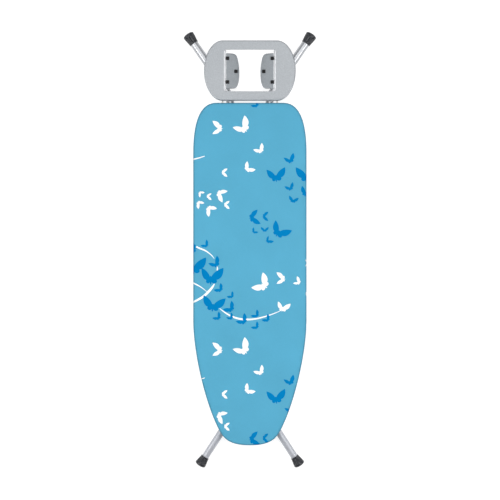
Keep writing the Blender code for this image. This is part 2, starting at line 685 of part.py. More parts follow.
# ---------------------------------------------------------------- iron rest
def rest_outline():
    right = [(REST_STRAIGHT + REST_END_X * math.cos(a), REST_Y + REST_HALF_Y * math.sin(a))
             for a in (math.radians(-90 + 15 * k) for k in range(13))]
    left = [(-x, y) for x, y in reversed(right)]
    return [Vector(p) for p in right + left]


def make_rest_plate():
    """A ring of sheet steel with its edge turned down and two wings bent into its window."""
    outline = rest_outline()
    top, under = REST_Z + REST_SHEET, REST_Z
    rings = [at_height(inset(outline, distance), z) for distance, z in (
        (0.0015, top), (0.0, top - 0.0015), (0.0, under - REST_FLANGE),
        (REST_SHEET, under - REST_FLANGE), (REST_SHEET, under - 0.0008),
        (REST_SHEET + 0.0008, under))]
    verts, faces = skin(rings, False)
    plate = add_object("iron_rest_plate", verts, faces, "rest_paint")
    hole = [(p.x, REST_Y + p.y)
            for p in rounded_box(WINDOW_HALF_X, WINDOW_HALF_Y, WINDOW_CORNER, 3)]
    cutter = add_prism("window_cutter", hole, "z", under - 0.01, top + 0.01, "rest_paint")
    combine(plate, cutter, "DIFFERENCE")
    for s in SIDES.values():
        combine(plate, make_wing(s), "UNION")


def wing_point(s, inwards, along, height):
    """A point on a wing: inwards from its bend, along Y, and up from its middle plane."""
    x = WINDOW_HALF_X - inwards * math.cos(WING_TILT) - height * math.sin(WING_TILT)
    z = -inwards * math.sin(WING_TILT) + height * math.cos(WING_TILT)
    return Vector((s * x, REST_Y + along, REST_Z + REST_SHEET / 2 + z))


def make_wing(s):
    low, high = WING_YS
    shoulder = WING_DEPTH - 0.004 - WING_CORNER
    bottom = arc((shoulder, low + WING_CORNER), WING_CORNER, -90, 0, 4)
    top = arc((shoulder, high - WING_CORNER), WING_CORNER, 0, 90, 4)
    root = CLEARANCE - 0.0008  # inside the ring
    outline = [(root, low)] + [(p.x, p.y) for p in bottom]
    middle, quarter = (low + high) / 2, (high - low) / 7
    outline += [(WING_DEPTH - WING_BULGE, middle - quarter), (WING_DEPTH, middle),
                (WING_DEPTH - WING_BULGE, middle + quarter)]
    outline += [(p.x, p.y) for p in top] + [(root, high)]
    half = WING_SHEET / 2
    rings = [[wing_point(s, u, v, height) for u, v in outline] for height in (-half, half)]
    verts, faces = skin(rings, False)
    return add_object("wing", verts, faces, "rest_paint")


def make_rest_pads():
    """Square pads on the wings that the hot iron stands on."""
    half = REST_PAD_SIZE / 2
    square = ((-half, -half), (half, -half), (half, half), (-half, half))
    for side, s in SIDES.items():
        for spot, (x, y) in REST_PAD_SPOTS.items():
            inwards = (WINDOW_HALF_X - x) / math.cos(WING_TILT)
            base = WING_SHEET / 2 + CLEARANCE
            rings = [[wing_point(s, inwards + u * scale, y + v * scale, base + height)
                      for u, v in square]
                     for height, scale in ((0.0, 1.0), (REST_PAD_HEIGHT * 0.7, 1.0),
                                           (REST_PAD_HEIGHT, 0.86))]
            verts, faces = skin(rings, False)
            add_object(f"rest_pad_{side}_{spot}", verts, faces, "black_rubber")


def make_rest_wire():
    """The bent wire that carries the iron rest, from the rear cross member out and back."""
    under_hem = HEM_Z - CLEARANCE - WIRE_RADIUS
    run = [(0.1000, 0.432, REST_WIRE_Z), (0.1000, 0.456, REST_WIRE_Z), (0.0995, 0.470, under_hem),
           (0.0965, 0.520, under_hem), (0.0955, 0.530, under_hem), (0.0950, 0.546, REST_WIRE_Z)]
    bend = [(p.x, p.y, REST_WIRE_Z) for p in arc((0.0700, 0.6950), 0.0250, 0, 90, 4)]
    right = run + bend
    left = [(-x, y, z) for x, y, z in reversed(right)]
    add_rod("rest_wire", [Vector(p) for p in right + left], WIRE_RADIUS, "zinc", sides=8)


def main():
    clear_scene()
    make_rim()
    make_deck()
    make_cross_members()
    make_pad()
    make_cover()
    make_hem_elastic()
    make_pivot_brackets()
    make_racks()
    make_lever_bearings()
    make_lever_spring()
    make_rest_plate()
    make_rest_pads()
    make_rest_wire()
    rear_axis = add_empty("rear_leg_axis", (0.0, -PIVOT_REACH, LEG_Z))
    front_axis = add_empty("front_leg_axis", (0.0, 0.0, LEG_Z), rear_axis)
    lever_axis = add_empty("release_lever_axis", (SHAFT_X, 0.0, SHAFT_Z))
    make_rear_leg(rear_axis)
    make_front_leg(front_axis)
    make_release_lever(lever_axis)


main()
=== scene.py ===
"""Looks for a folding ironing board, lying folded with its printed cover up.

Frame: metres, origin on the floor under the bolts where the legs cross, +Y towards the iron rest,
+Z out of the ironing surface. The sizes that part.py has and no box gives are repeated here.
"""

import math

import bmesh
import bpy
import numpy as np
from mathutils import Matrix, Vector
from mathutils.geometry import delaunay_2d_cdt


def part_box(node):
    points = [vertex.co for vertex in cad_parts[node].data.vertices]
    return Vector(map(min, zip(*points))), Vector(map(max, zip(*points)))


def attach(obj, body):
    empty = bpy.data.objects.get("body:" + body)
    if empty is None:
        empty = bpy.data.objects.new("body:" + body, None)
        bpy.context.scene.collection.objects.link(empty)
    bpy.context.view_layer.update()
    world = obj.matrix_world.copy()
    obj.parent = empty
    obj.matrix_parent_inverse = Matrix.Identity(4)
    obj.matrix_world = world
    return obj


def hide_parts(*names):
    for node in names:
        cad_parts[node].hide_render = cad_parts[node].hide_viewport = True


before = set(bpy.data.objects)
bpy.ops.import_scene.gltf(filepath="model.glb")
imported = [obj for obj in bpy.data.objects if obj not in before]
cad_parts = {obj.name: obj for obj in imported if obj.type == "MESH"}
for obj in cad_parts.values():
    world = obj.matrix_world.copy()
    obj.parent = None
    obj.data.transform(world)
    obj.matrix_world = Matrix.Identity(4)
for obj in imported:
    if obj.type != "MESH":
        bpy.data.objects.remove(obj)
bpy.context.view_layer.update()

# ---------------------------------------------------------------- sizes
SIDES = {"left": -1, "right": 1}
X, Y, Z = Vector((1, 0, 0)), Vector((0, 1, 0)), Vector((0, 0, 1))
CLEAR = 0.0003

COVER_LOW, COVER_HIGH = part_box("cover")
NOSE_Y, TAIL_Y, HALF_WIDTH = COVER_LOW.y, COVER_HIGH.y, COVER_HIGH.x
HEM_Z, TOP_Z = COVER_LOW.z, COVER_HIGH.z
NOSE_ROUND = ((0.0, 0.0), (0.070, 0.0), (0.0905, 0.0212), (0.107, 0.052))
NOSE_FLARE = ((0.107, 0.052), (0.154, 0.140), (HALF_WIDTH, 0.320), (HALF_WIDTH, 0.440))
TAIL_CORNER = ((HALF_WIDTH, 0.176), (HALF_WIDTH, 0.080), (0.180, 0.0), (0.118, 0.0))
CLOTH = 0.0009
EDGE_RADIUS = 0.0065         # rounding of the padded top edge
FOLD_RADIUS = 0.0035         # rounding of the fold under the rim
HEM_WIDTH = 0.040
CASING = 0.011               # cloth turned back over the elastic
CASING_RISE = 0.0024
RIM_RADIUS = 0.008

LEG_Z = 0.020
PIVOT_REACH, FOOT_REACH, TOP_STUB = 0.400, 0.7585, 0.011
LEG_WALL, BEND_RADIUS, CAP_SOLID = 0.001, 0.095, 0.0085
REAR = {"x": 0.069, "radius": 0.014, "bend_y": 0.5415, "angle": math.radians(34.5),
        "cap": 0.0200, "neck": 0.0153, "cap_length": 0.038}
FRONT = {"x": 0.030, "radius": 0.0125, "bend_y": 0.5335, "angle": math.radians(33.0),
         "cap": 0.0194, "neck": 0.0138, "cap_length": 0.034}
PIN = 0.004

REST_Y, REST_STRAIGHT, REST_END_X, REST_HALF_Y = 0.630, 0.096, 0.0655, 0.1065
REST_SHEET = 0.0015
REST_TOP, REST_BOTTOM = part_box("iron_rest_plate")[1].z, 0.0365
REST_ROUND = 0.0048
WINDOW = (0.0905, 0.073)
WINDOW_CORNER = 0.007
WING_YS = (-0.065, 0.061)
WING_DEPTH = 0.0535


# ---------------------------------------------------------------- mesh helpers
def loft(rings, closed=False):
    """Quads between closed rings of equal length; closed joins the last ring to the first."""
    rings = np.asarray(rings, float)
    m, n, _ = rings.shape
    faces = []
    for k in range(m if closed else m - 1):
        a, b = k * n, (k + 1) % m * n
        faces += [(a + i, a + (i + 1) % n, b + (i + 1) % n, b + i) for i in range(n)]
    if not closed:
        faces += [tuple(range(n)), tuple(range((m - 1) * n, m * n))]
    return rings.reshape(-1, 3), faces


def slab(upper, lower):
    """A bent plate between two grids of points, with its edges closed."""
    upper, lower = np.asarray(upper, float), np.asarray(lower, float)
    rows, cols, _ = upper.shape
    at = lambda i, j: i * cols + j
    count = rows * cols
    faces = []
    for i in range(rows - 1):
        for j in range(cols - 1):
            quad = (at(i, j), at(i, j + 1), at(i + 1, j + 1), at(i + 1, j))
            faces += [quad, tuple(k + count for k in reversed(quad))]
    border = [at(0, j) for j in range(cols)] + [at(i, cols - 1) for i in range(1, rows)]
    border += [at(rows - 1, j) for j in range(cols - 2, -1, -1)]
    border += [at(i, 0) for i in range(rows - 2, 0, -1)]
    for a, b in zip(border, border[1:] + border[:1]):
        faces.append((b, a, a + count, b + count))
    return np.vstack([upper.reshape(-1, 3), lower.reshape(-1, 3)]), faces


def gathered(shapes):
    """Several shapes as one."""
    points, faces = [], []
    for more_points, more_faces in shapes:
        faces += [tuple(i + len(points) for i in face) for face in more_faces]
        points += list(more_points)
    return points, faces


def add_object(name, data=None):
    obj = bpy.data.objects.new(name, data)
    bpy.context.scene.collection.objects.link(obj)
    return obj


def piece(name, shape, material, body, replaces=(), bevel=0.0, sharp=35):
    """A piece of the object from its points and faces."""
    mesh = bpy.data.meshes.new(name)
    mesh.from_pydata([tuple(v) for v in shape[0]], [], [tuple(int(i) for i in f) for f in shape[1]])
    shaped = bmesh.new()
    shaped.from_mesh(mesh)
    bmesh.ops.recalc_face_normals(shaped, faces=shaped.faces)
    shaped.to_mesh(mesh)
    shaped.free()
    mesh.shade_smooth()
    mesh.set_sharp_from_angle(angle=math.radians(sharp))
    mesh.materials.append(material)
    obj = add_object(name, mesh)
    if bevel:
        round_edges(obj, bevel)
    even_shading(obj)
    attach(obj, body)
    if replaces:
        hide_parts(*replaces)
    return obj


def round_edges(obj, width):
    modifier = obj.modifiers.new("round_edges", "BEVEL")
    modifier.width = width
    modifier.segments = 2
    modifier.limit_method = "ANGLE"
    modifier.angle_limit = math.radians(30)
    modifier.harden_normals = True


def even_shading(obj):
    """Keeps large flat faces flat beside small rounded ones."""
    modifier = obj.modifiers.new("even_shading", "WEIGHTED_NORMAL")
    modifier.keep_sharp = True


def turned(profile, start, axis, sides=40, closed=False, flute=None):
    """A shape turned about a level axis; flute(turn, along) scales the radius."""
    start, axis = Vector(start), Vector(axis)
    side = axis.cross(Z)
    rings = []
    for along, radius in profile:
        ring = []
        for k in range(sides):
            turn = math.tau * k / sides
            r = radius * (flute(turn, along) if flute else 1.0)
            ring.append(start + axis * along + (side * math.cos(turn) + Z * math.sin(turn)) * r)
        rings.append(ring)
    return loft(rings, closed)


def swept(path, radius, sides=20, up=Z, closed=False, wall=0.0):
    """A round bar or, with a wall, a tube along a path."""
    path = [Vector(p) for p in path]
    count = len(path)

    def rings_of(r):
        rings = []
        for i, point in enumerate(path):
            before = path[i - 1] if closed or i else point
            after = path[(i + 1) % count] if closed or i < count - 1 else point
            tangent = (after - before).normalized()
            across = tangent.cross(up).normalized()
            rise = across.cross(tangent)
            turns = (math.tau * k / sides for k in range(sides))
            rings.append([point + across * (r * math.cos(a)) + rise * (r * math.sin(a))
                          for a in turns])
        return rings
    if wall:
        return loft(rings_of(radius) + rings_of(radius - wall)[::-1], True)
    return loft(rings_of(radius), closed)


def eased(points, rounds):
    """A path with its corners cut, its ends kept."""
    points = [Vector(p) for p in points]
    for _ in range(rounds):
        cut = [points[0]]
        for a, b in zip(points, points[1:]):
            cut += [a.lerp(b, 0.25), a.lerp(b, 0.75)]
        points = cut + [points[-1]]
    return points


def arc(centre, radius, start, end, steps):
    """Points on an arc, both ends included; angles in degrees."""
    turns = (math.radians(start + (end - start) * i / steps) for i in range(steps + 1))
    return [(centre[0] + radius * math.cos(a), centre[1] + radius * math.sin(a)) for a in turns]


def rounded(across, along, radius, steps, first=0):
    """A rectangle with round corners centred at (+-across, +-along), from the first corner."""
    corners = ((1, 1, 0), (-1, 1, 90), (-1, -1, 180), (1, -1, 270))
    points = []
    for sx, sy, start in corners[first:] + corners[:first]:
        points += arc((sx * across, sy * along), radius, start, start + 90, steps)
    return points


def bezier(points, steps):
    """Points along a cubic curve, from its start up to but not including its end."""
    t = np.arange(steps)[:, None] / steps
    a, b, c, d = (np.array(p, float) for p in points)
    return a * (1 - t) ** 3 + b * 3 * t * (1 - t) ** 2 + c * 3 * t * t * (1 - t) + d * t ** 3


def run_along(points):
    """The distance along a line at each of its points."""
    return np.concatenate([[0], np.cumsum(np.linalg.norm(np.diff(points, axis=0), axis=1))])


def even(points, count):
    """A closed outline as count points at equal steps along it."""
    loop = np.vstack([points, points[:1]])
    run = run_along(loop)
    at = np.arange(count) / count * run[-1]
    return np.column_stack([np.interp(at, run, loop[:, 0]), np.interp(at, run, loop[:, 1])])


def outward(points):
    """Unit normals of an anticlockwise outline, pointing out."""
    along = np.roll(points, -1, 0) - np.roll(points, 1, 0)
    along /= np.linalg.norm(along, axis=1)[:, None]
    return np.column_stack([along[:, 1], -along[:, 0]])


# ---------------------------------------------------------------- materials
class Nodes:
    """A material's nodes, by short calls."""

    def __init__(self, name, colour, roughness, metallic=0.0, **shader):
        self.material = bpy.data.materials.new(name)
        self.material.use_nodes = True
        self.tree = self.material.node_tree
        self.shader = self.tree.nodes["Principled BSDF"]
        self.set("Base Color", (*colour, 1.0))
        self.set("Roughness", roughness)
        self.set("Metallic", metallic)
        for key, value in shader.items():
            self.set(key.replace("_", " "), value)
        self.place = self.node("TexCoord").outputs["Object"]

    def set(self, socket, value):
        self.shader.inputs[socket].default_value = value

    def node(self, kind, **settings):
        made = self.tree.nodes.new("ShaderNode" + kind)
        for key, value in settings.items():
            setattr(made, key, value)
        return made

    def link(self, output, socket):
        self.tree.links.new(output, socket)

    def feed(self, socket, value):
        """Gives a socket another node's output or a plain value."""
        if isinstance(value, bpy.types.NodeSocket):
            self.link(value, socket)
        else:
            socket.default_value = value

    def put(self, made, **inputs):
        for key, value in inputs.items():
            self.feed(made.inputs[key.replace("_", " ")], value)

    def math(self, operation, a, b=0.0):
        made = self.node("Math", operation=operation)
        self.feed(made.inputs[0], a)
        self.feed(made.inputs[1], b)
        return made.outputs[0]

    def add(self, a, b):
        return self.math("ADD", a, b)

    def times(self, a, b):
        return self.math("MULTIPLY", a, b)

    def parts(self, value, kind="XYZ"):
        """The three parts of a vector or a colour."""
        made = self.node("Separate" + kind)
        self.link(value, made.inputs[0])
        return made.outputs

    def stretch(self, scale, place=None):
        """The place scaled by a number or by three."""
        made = self.node("Mapping")
        scale = scale if hasattr(scale, "__len__") else (scale,) * 3
        self.put(made, Vector=place or self.place, Scale=scale)
        return made.outputs[0]

    def noise(self, scale, detail=2.0, roughness=0.5, place=None):
        made = self.node("TexNoise")
        self.put(made, Vector=self.stretch(scale, place), Scale=1.0, Detail=detail,
                 Roughness=roughness)
        return made.outputs["Fac"]

    def cells(self, scale, output):
        made = self.node("TexVoronoi")
        self.put(made, Vector=self.stretch(scale), Scale=1.0)
        return made.outputs[output]

    def between(self, value, low, high, to_low=0.0, to_high=1.0):
        made = self.node("MapRange")
        self.put(made, Value=value, From_Min=low, From_Max=high, To_Min=to_low, To_Max=to_high)
        return made.outputs[0]

    def blend(self, share, first, second):
        """A colour between two, by a share."""
        made = self.node("Mix", data_type="RGBA")
        self.link(share, made.inputs["Factor"])
        for socket, value in zip(made.inputs[6:8], (first, second)):
            self.feed(socket, (*value, 1.0) if isinstance(value, tuple) else value)
        return made.outputs[2]

    def colour(self, output):
        self.link(output, self.shader.inputs["Base Color"])

    def rough(self, output):
        self.link(output, self.shader.inputs["Roughness"])

    def bump(self, height, distance, strength=1.0):
        made = self.node("Bump")
        self.put(made, Height=height, Distance=distance, Strength=strength)
        self.link(made.outputs[0], self.shader.inputs["Normal"])


def tint(colour, scale):
    return tuple(c * scale for c in colour)


def cloth_material(name, colour, gloss=0.08):
    """Printed plain-weave cotton; its threads follow the flat cut's own coordinates."""
    m = Nodes(name, colour, 0.86, Sheen_Weight=gloss / 2, Sheen_Roughness=0.5,
              Specular_IOR_Level=gloss)
    flat = m.node("UVMap", uv_map="flat").outputs[0]
    across, along, _ = m.parts(flat)
    thread = math.pi / THREAD_PITCH
    weave = m.times(*(m.math("SINE", m.times(way, thread)) for way in (across, along)))
    slub = m.add(m.noise((1500, 90, 1), 2, place=flat), m.noise((90, 1500, 1), 2, place=flat))
    wide = m.noise(7, 3, place=flat)
    light = m.add(m.between(slub, 0.6, 1.4, -0.05, 0.05), m.between(wide, 0.3, 0.7, -0.03, 0.03))
    light = m.add(light, m.times(weave, 0.03))
    printed_colour = m.blend(m.between(light, -0.1, 0.1), tint(colour, 0.90), tint(colour, 1.10))
    # Painted shade: the cloth is coloured darker where it turns down over the board's edge, where
    # it faces away from the light
    facing_up = m.parts(m.node("NewGeometry").outputs["Normal"])[2]
    down = m.math("POWER", m.between(facing_up, 0.0, 1.0, 1.0, 0.0), 0.5)
    down = m.math("MINIMUM", m.times(down, 1.75), 1.0)
    m.colour(m.blend(down, printed_colour, tint(colour, 0.62)))
    m.rough(m.between(slub, 0.6, 1.4, 0.80, 0.92))
    m.bump(m.add(weave, m.times(slub, 0.8)), 0.00012, 0.7)
    return m.material


def paint_material(name, colour, metallic, roughness, grain, flake=0.06, mottle=0.0):
    """Silver powder coat: fine orange peel, metal flakes, dull patches and rubbed marks."""
    m = Nodes(name, colour, roughness, metallic, Coat_Weight=0.08, Coat_Roughness=0.25)
    peel = m.noise(grain, 2)
    flakes = m.parts(m.cells(grain * 1.4, "Color"), "Color")[0]
    worn = m.between(m.noise(9, 3), 0.35, 0.65)
    rubs = m.between(m.noise((160, 160, 40), 5, 0.7), 0.66, 0.74)
    value = m.add(m.between(flakes, 0, 1, -flake, flake), m.between(worn, 0, 1, -0.02, 0.02))
    value = m.add(value, m.times(rubs, 0.05))
    if mottle:
        value = m.add(value, m.between(m.noise(190, 3, 0.7), 0.3, 0.7, -mottle, mottle))
    m.colour(m.blend(m.between(value, -0.2, 0.2), tint(colour, 0.80), tint(colour, 1.20)))
    m.rough(m.between(m.add(worn, peel), 0.3, 1.5, roughness - 0.04, roughness + 0.05))
    m.bump(peel, 0.00008, 0.6)
    return m.material


def galvanised_material(name, colour):
    """Zinc-dipped sheet with its crystal pattern and dull white bloom."""
    m = Nodes(name, colour, 0.42, 0.88)
    shade, polish, _ = m.parts(m.cells(170, "Color"), "Color")
    bloom = m.between(m.noise(30, 5, 0.65), 0.45, 0.7)
    value = m.add(m.between(shade, 0, 1, -0.10, 0.10), m.times(bloom, 0.12))
    m.colour(m.blend(m.between(value, -0.1, 0.22), tint(colour, 0.78), tint(colour, 1.18)))
    m.rough(m.add(m.between(polish, 0, 1, 0.30, 0.48), m.times(bloom, 0.15)))
    m.bump(m.noise(900, 2), 0.00005, 0.5)
    return m.material


def zinc_material(name, colour, roughness):
    """Bright plating with drawn or turned scratches and a few dull spots."""
    m = Nodes(name, colour, roughness, 0.95)
    lines = m.noise((90, 2600, 2600), 2)
    spots = m.between(m.noise(160, 4, 0.6), 0.55, 0.75)
    dull = m.add(m.between(lines, 0.35, 0.65, 0, 0.5), m.times(spots, 0.5))
    m.colour(m.blend(dull, colour, tint(colour, 0.72)))
    drawn = m.between(lines, 0.3, 0.7, roughness - 0.06, roughness + 0.10)
    m.rough(m.add(drawn, m.times(spots, 0.2)))
    m.bump(lines, 0.00003, 0.5)
    return m.material


def moulded_material(name, colour, roughness, grain, dust=0.0, **shader):
    """Moulded rubber or plastic: fine grain, flow marks and, on rubber, dust."""
    m = Nodes(name, colour, roughness, 0.0, **shader)
    fine = m.noise(grain, 3)
    flow = m.noise((35, 35, 12), 3)
    scuff = m.between(m.noise(420, 4, 0.7), 0.52, 0.74)
    value = m.add(m.between(flow, 0.3, 0.7, 0.0, 0.35), m.times(scuff, 0.65))
    m.colour(m.blend(value, tint(colour, 0.88), tuple(c * 1.12 + dust for c in colour)))
    m.rough(m.between(m.add(fine, scuff), 0.3, 1.4, roughness - 0.08, roughness + 0.12))
    m.bump(fine, 0.00015, 0.6)
    return m.material


def felt_material(name, colour):
    """Needled felt: tangled fibres of mixed shades."""
    m = Nodes(name, colour, 0.95, Sheen_Weight=0.3)
    fibres = m.add(m.noise((220, 1600, 900), 4, 0.7), m.noise((1600, 260, 900), 4, 0.7))
    specks = m.between(m.cells(300, "Distance"), 0.0, 0.35, 1.0, 0.0)
    m.colour(m.blend(m.times(fibres, 0.5), tint(colour, 0.68), tint(colour, 1.22)))
    m.rough(m.between(fibres, 0.6, 1.4, 0.9, 1.0))
    m.bump(m.add(fibres, m.times(specks, 0.3)), 0.0006, 0.8)
    return m.material


def elastic_material(name, colour):
    """Braided elastic: slanting strands both ways."""
    m = Nodes(name, colour, 0.8, Sheen_Weight=0.2)
    x, y, z = m.parts(m.place)
    run = m.add(x, y)
    strands = [m.math("SINE", m.times(m.math(way, run, z), 2600)) for way in ("ADD", "SUBTRACT")]
    braid = m.times(*strands)
    m.colour(m.blend(m.between(braid, -1, 1), tint(colour, 0.72), tint(colour, 1.05)))
    m.rough(m.between(braid, -1, 1, 0.9, 0.7))
    m.bump(braid, 0.0003, 0.8)
    return m.material


THREAD_PITCH = 0.0006
COVER_BLUE = (0.094, 0.374, 0.549)
PRINT_BLUE = (0.0005, 0.198, 0.485)
PRINT_WHITE = (0.93, 0.94, 0.93)
# After its colour a paint takes metallic, roughness and grain, and a moulding roughness, grain
# and dust
M = {
    "cover": cloth_material("cover_fabric_blue", COVER_BLUE),
    "dark": cloth_material("cover_print_deep_blue", PRINT_BLUE, 0.02),
    "white": cloth_material("cover_print_white", PRINT_WHITE),
    "front_paint": paint_material("front_leg_silver_paint", (0.43, 0.44, 0.475), 0.15, 0.32, 1400),
    "rear_paint": paint_material("rear_leg_silver_paint", (0.42, 0.43, 0.45), 0.55, 0.21, 1400),
    "frame_paint": paint_material("frame_silver_paint", (0.46, 0.47, 0.50), 0.50, 0.40, 1200),
    "rest_paint": paint_material("rest_textured_paint", (0.344, 0.363, 0.383), 0.30, 0.40, 700,
                                 flake=0.12, mottle=0.07),
    # Painted shade: the wings take a darker copy of the rest's paint
    "shaded_wing_paint": paint_material("wing_paint_painted_shade", (0.248, 0.268, 0.287), 0.30, 0.40, 700,
                                 flake=0.10, mottle=0.05),
    # Painted highlight: the wings' bends are coloured bright, as if they caught the light
    "bend_highlight": paint_material("wing_bend_painted_highlight", (0.74, 0.75, 0.77), 0.65, 0.34, 700,
                                 flake=0.04),
    "galvanised": galvanised_material("galvanised_sheet", (0.58, 0.59, 0.61)),
    "zinc": zinc_material("zinc_plating", (0.66, 0.67, 0.68), 0.26),
    "wire": zinc_material("drawn_wire", (0.62, 0.60, 0.57), 0.32),
    "rubber": moulded_material("foot_rubber", (0.0095, 0.0115, 0.0165), 0.34, 900, 0.005,
                               Specular_IOR_Level=0.50),
    "pad_rubber": moulded_material("rest_pad_rubber", (0.010, 0.010, 0.011), 0.75, 1200, 0.003,
                                   Specular_IOR_Level=0.25),
    "plastic": moulded_material("black_plastic", (0.018, 0.018, 0.020), 0.42, 1500, 0.002),
    "nylon": moulded_material("white_nylon", (0.72, 0.72, 0.69), 0.45, 700),
    "felt": felt_material("underlay_felt", (0.50, 0.50, 0.46)),
    "elastic": elastic_material("braided_elastic", (0.78, 0.78, 0.75)),
    "thread": cloth_material("stitch_thread", (0.32, 0.55, 0.68)),
}


# ---------------------------------------------------------------- board outline and cover section
def board_outline(count):
    """The board's edge, anticlockwise from the nose tip, at equal steps."""
    right = np.vstack([bezier(NOSE_ROUND, 60), bezier(NOSE_FLARE, 80), [NOSE_FLARE[-1]]])
    right[:, 1] += NOSE_Y
    corner = np.vstack([bezier(TAIL_CORNER, 60), [TAIL_CORNER[-1]]])
    corner[:, 1] = TAIL_Y - corner[:, 1]
    right = np.vstack([right, corner])
    left = right[:0:-1] * (-1, 1)
    return even(np.vstack([right, left]), count)


OUTLINE = board_outline(960)
OUTLINE_NORMALS = outward(OUTLINE)


def offset(distance, step=1):
    """The board's outline moved outwards by a distance."""
    return (OUTLINE + OUTLINE_NORMALS * distance)[::step]


FOLD_LINE = offset(-EDGE_RADIUS)
FOLD_RUN = run_along(np.vstack([FOLD_LINE, FOLD_LINE[:1]]))
PERIMETER = FOLD_RUN[-1]


EDGE_STEPS, FOLD_STEPS, UNDER_POINTS, CASING_STEPS = 12, 10, 10, 10


def cover_section():
    """The cover's cross-section from the fold line outwards and under: outward reach and height."""
    top, side = EDGE_RADIUS, FOLD_RADIUS
    points = arc((0, TOP_Z - top), top, 90, 0, EDGE_STEPS)
    points += arc((top - side, HEM_Z + side), side, 0, -90, FOLD_STEPS)
    inner = top - HEM_WIDTH
    points += [(x, HEM_Z) for x in np.linspace(top - side - 0.003, inner + 0.002, UNDER_POINTS)]
    points += arc((inner, HEM_Z + CASING_RISE), CASING_RISE, -90, -270, CASING_STEPS)
    points += [(inner + 0.004, HEM_Z + 2 * CASING_RISE - 0.0004),
               (inner + 0.008, HEM_Z + 2 * CASING_RISE - 0.0018),
               (inner + CASING, HEM_Z + 0.0014)]
    return np.array(points)


SECTION = cover_section()
SECTION_RUN = run_along(SECTION)
SECTION_END = SECTION_RUN[-1]
# Where the parts of the section begin and end, as points of it
EDGE_LAST, FOLD_FIRST = EDGE_STEPS, EDGE_STEPS + 1
FOLD_LAST = FOLD_FIRST + FOLD_STEPS
CASING_FIRST = FOLD_LAST + UNDER_POINTS + 1
UNDER_START = SECTION_RUN[FOLD_LAST]
HEM_EDGE = UNDER_START + HEM_WIDTH - FOLD_RADIUS


def wave(run, count, seed, low, high):
    """A smooth line round the perimeter, about -1 to 1: count sines of low to high cycles."""
    draw = np.random.default_rng(seed)
    total = np.zeros_like(run)
    for _ in range(count):
        cycles = int(draw.integers(low, high))
        size, start = draw.uniform(0.5, 1.0), draw.random()
        total += size * np.sin(math.tau * (cycles * run / PERIMETER + start))
    return total / math.sqrt(count)


# How sharply the outline turns, 0 to 1, averaged over 31 points: the hem gathers there
FULL_BEND = 7.0              # radians a metre
TURN_AT = np.abs(np.unwrap(np.arctan2(OUTLINE_NORMALS[:, 1], OUTLINE_NORMALS[:, 0])))
BEND = np.abs(np.gradient(TURN_AT)) / (PERIMETER / len(FOLD_LINE))
BEND = np.convolve(np.tile(BEND, 3), np.ones(31) / 31, "same")[len(BEND):2 * len(BEND)]
BEND = np.clip(BEND / FULL_BEND, 0, 1)


def smooth_step(value, low, high):
    share = np.clip((value - low) / (high - low), 0, 1)
    return share * share * (3 - 2 * share)


def place(run, out):
    """Points and normals of the cover's outer face, by perimeter run and distance past the fold."""
    run, out = np.asarray(run, float) % PERIMETER, np.asarray(out, float)
    ends = np.arange(len(FOLD_LINE) + 1)
    spot = np.interp(run, FOLD_RUN, ends)
    pick = lambda values: np.interp(spot, ends, np.append(values, values[0]))
    x, y = pick(FOLD_LINE[:, 0]), pick(FOLD_LINE[:, 1])
    nx, ny = pick(OUTLINE_NORMALS[:, 0]), pick(OUTLINE_NORMALS[:, 1])
    section = lambda at, column: np.interp(at, SECTION_RUN, SECTION[:, column])
    reach, height = section(out, 0), section(out, 1)
    step = 0.0006
    went, rise = (section(out + step, k) - section(out - step, k) for k in (0, 1))
    length = np.maximum(np.hypot(rise, went), 1e-9)
    bend = pick(BEND)
    side = (0.0002 + 0.0013 * bend) * (0.5 + 0.5 * np.clip(wave(run, 7, 5, 60, 190), -1, 1))
    flank = smooth_step(out, EDGE_RADIUS, SECTION_RUN[FOLD_FIRST + 1])
    side *= flank * (1 - smooth_step(out, UNDER_START, UNDER_START + 0.02))
    gather = wave(run, 9, 11, 90, 260)
    under = (0.00025 + 0.0026 * bend) * (gather - 0.6)
    under *= smooth_step(out, UNDER_START + 0.012, HEM_EDGE)
    points = np.column_stack([x + nx * (reach + side), y + ny * (reach + side), height - under])
    normals = np.column_stack([nx * -rise / length, ny * -rise / length, went / length])
    return points, normals


def locate(points):
    """Perimeter run and outward distance of flat points from the fold line, negative inside."""
    ahead = np.roll(FOLD_LINE, -1, 0) - FOLD_LINE
    square = (ahead ** 2).sum(1)
    runs, outs = [], []
    for part in np.array_split(points, max(1, len(points) // 1500)):
        gap = part[:, None] - FOLD_LINE[None]
        share = np.clip((gap * ahead).sum(2) / square, 0, 1)
        away = gap - share[..., None] * ahead
        far = (away ** 2).sum(2)
        k = far.argmin(1)
        row = np.arange(len(part))
        outs.append(np.sqrt(far[row, k]) * np.sign((away[row, k] * OUTLINE_NORMALS[k]).sum(1)))
        runs.append(FOLD_RUN[k] + share[row, k] * (FOLD_RUN[k + 1] - FOLD_RUN[k]))
    return np.concatenate(runs), np.concatenate(outs)


def crown(points, inside):
    """Rise of the padded top over the fold line, with the felt's slight unevenness."""
    x, y = points[:, 0], points[:, 1]
    soft = (0.00022 * np.sin(31 * x + 17 * y + 0.7) + 0.00018 * np.sin(-23 * x + 38 * y + 2.1)
            + 0.00012 * np.sin(64 * x + 9 * y))
    return 0.0014 * (1 - np.exp(-inside / 0.045)) + soft * smooth_step(inside, 0.0, 0.03)


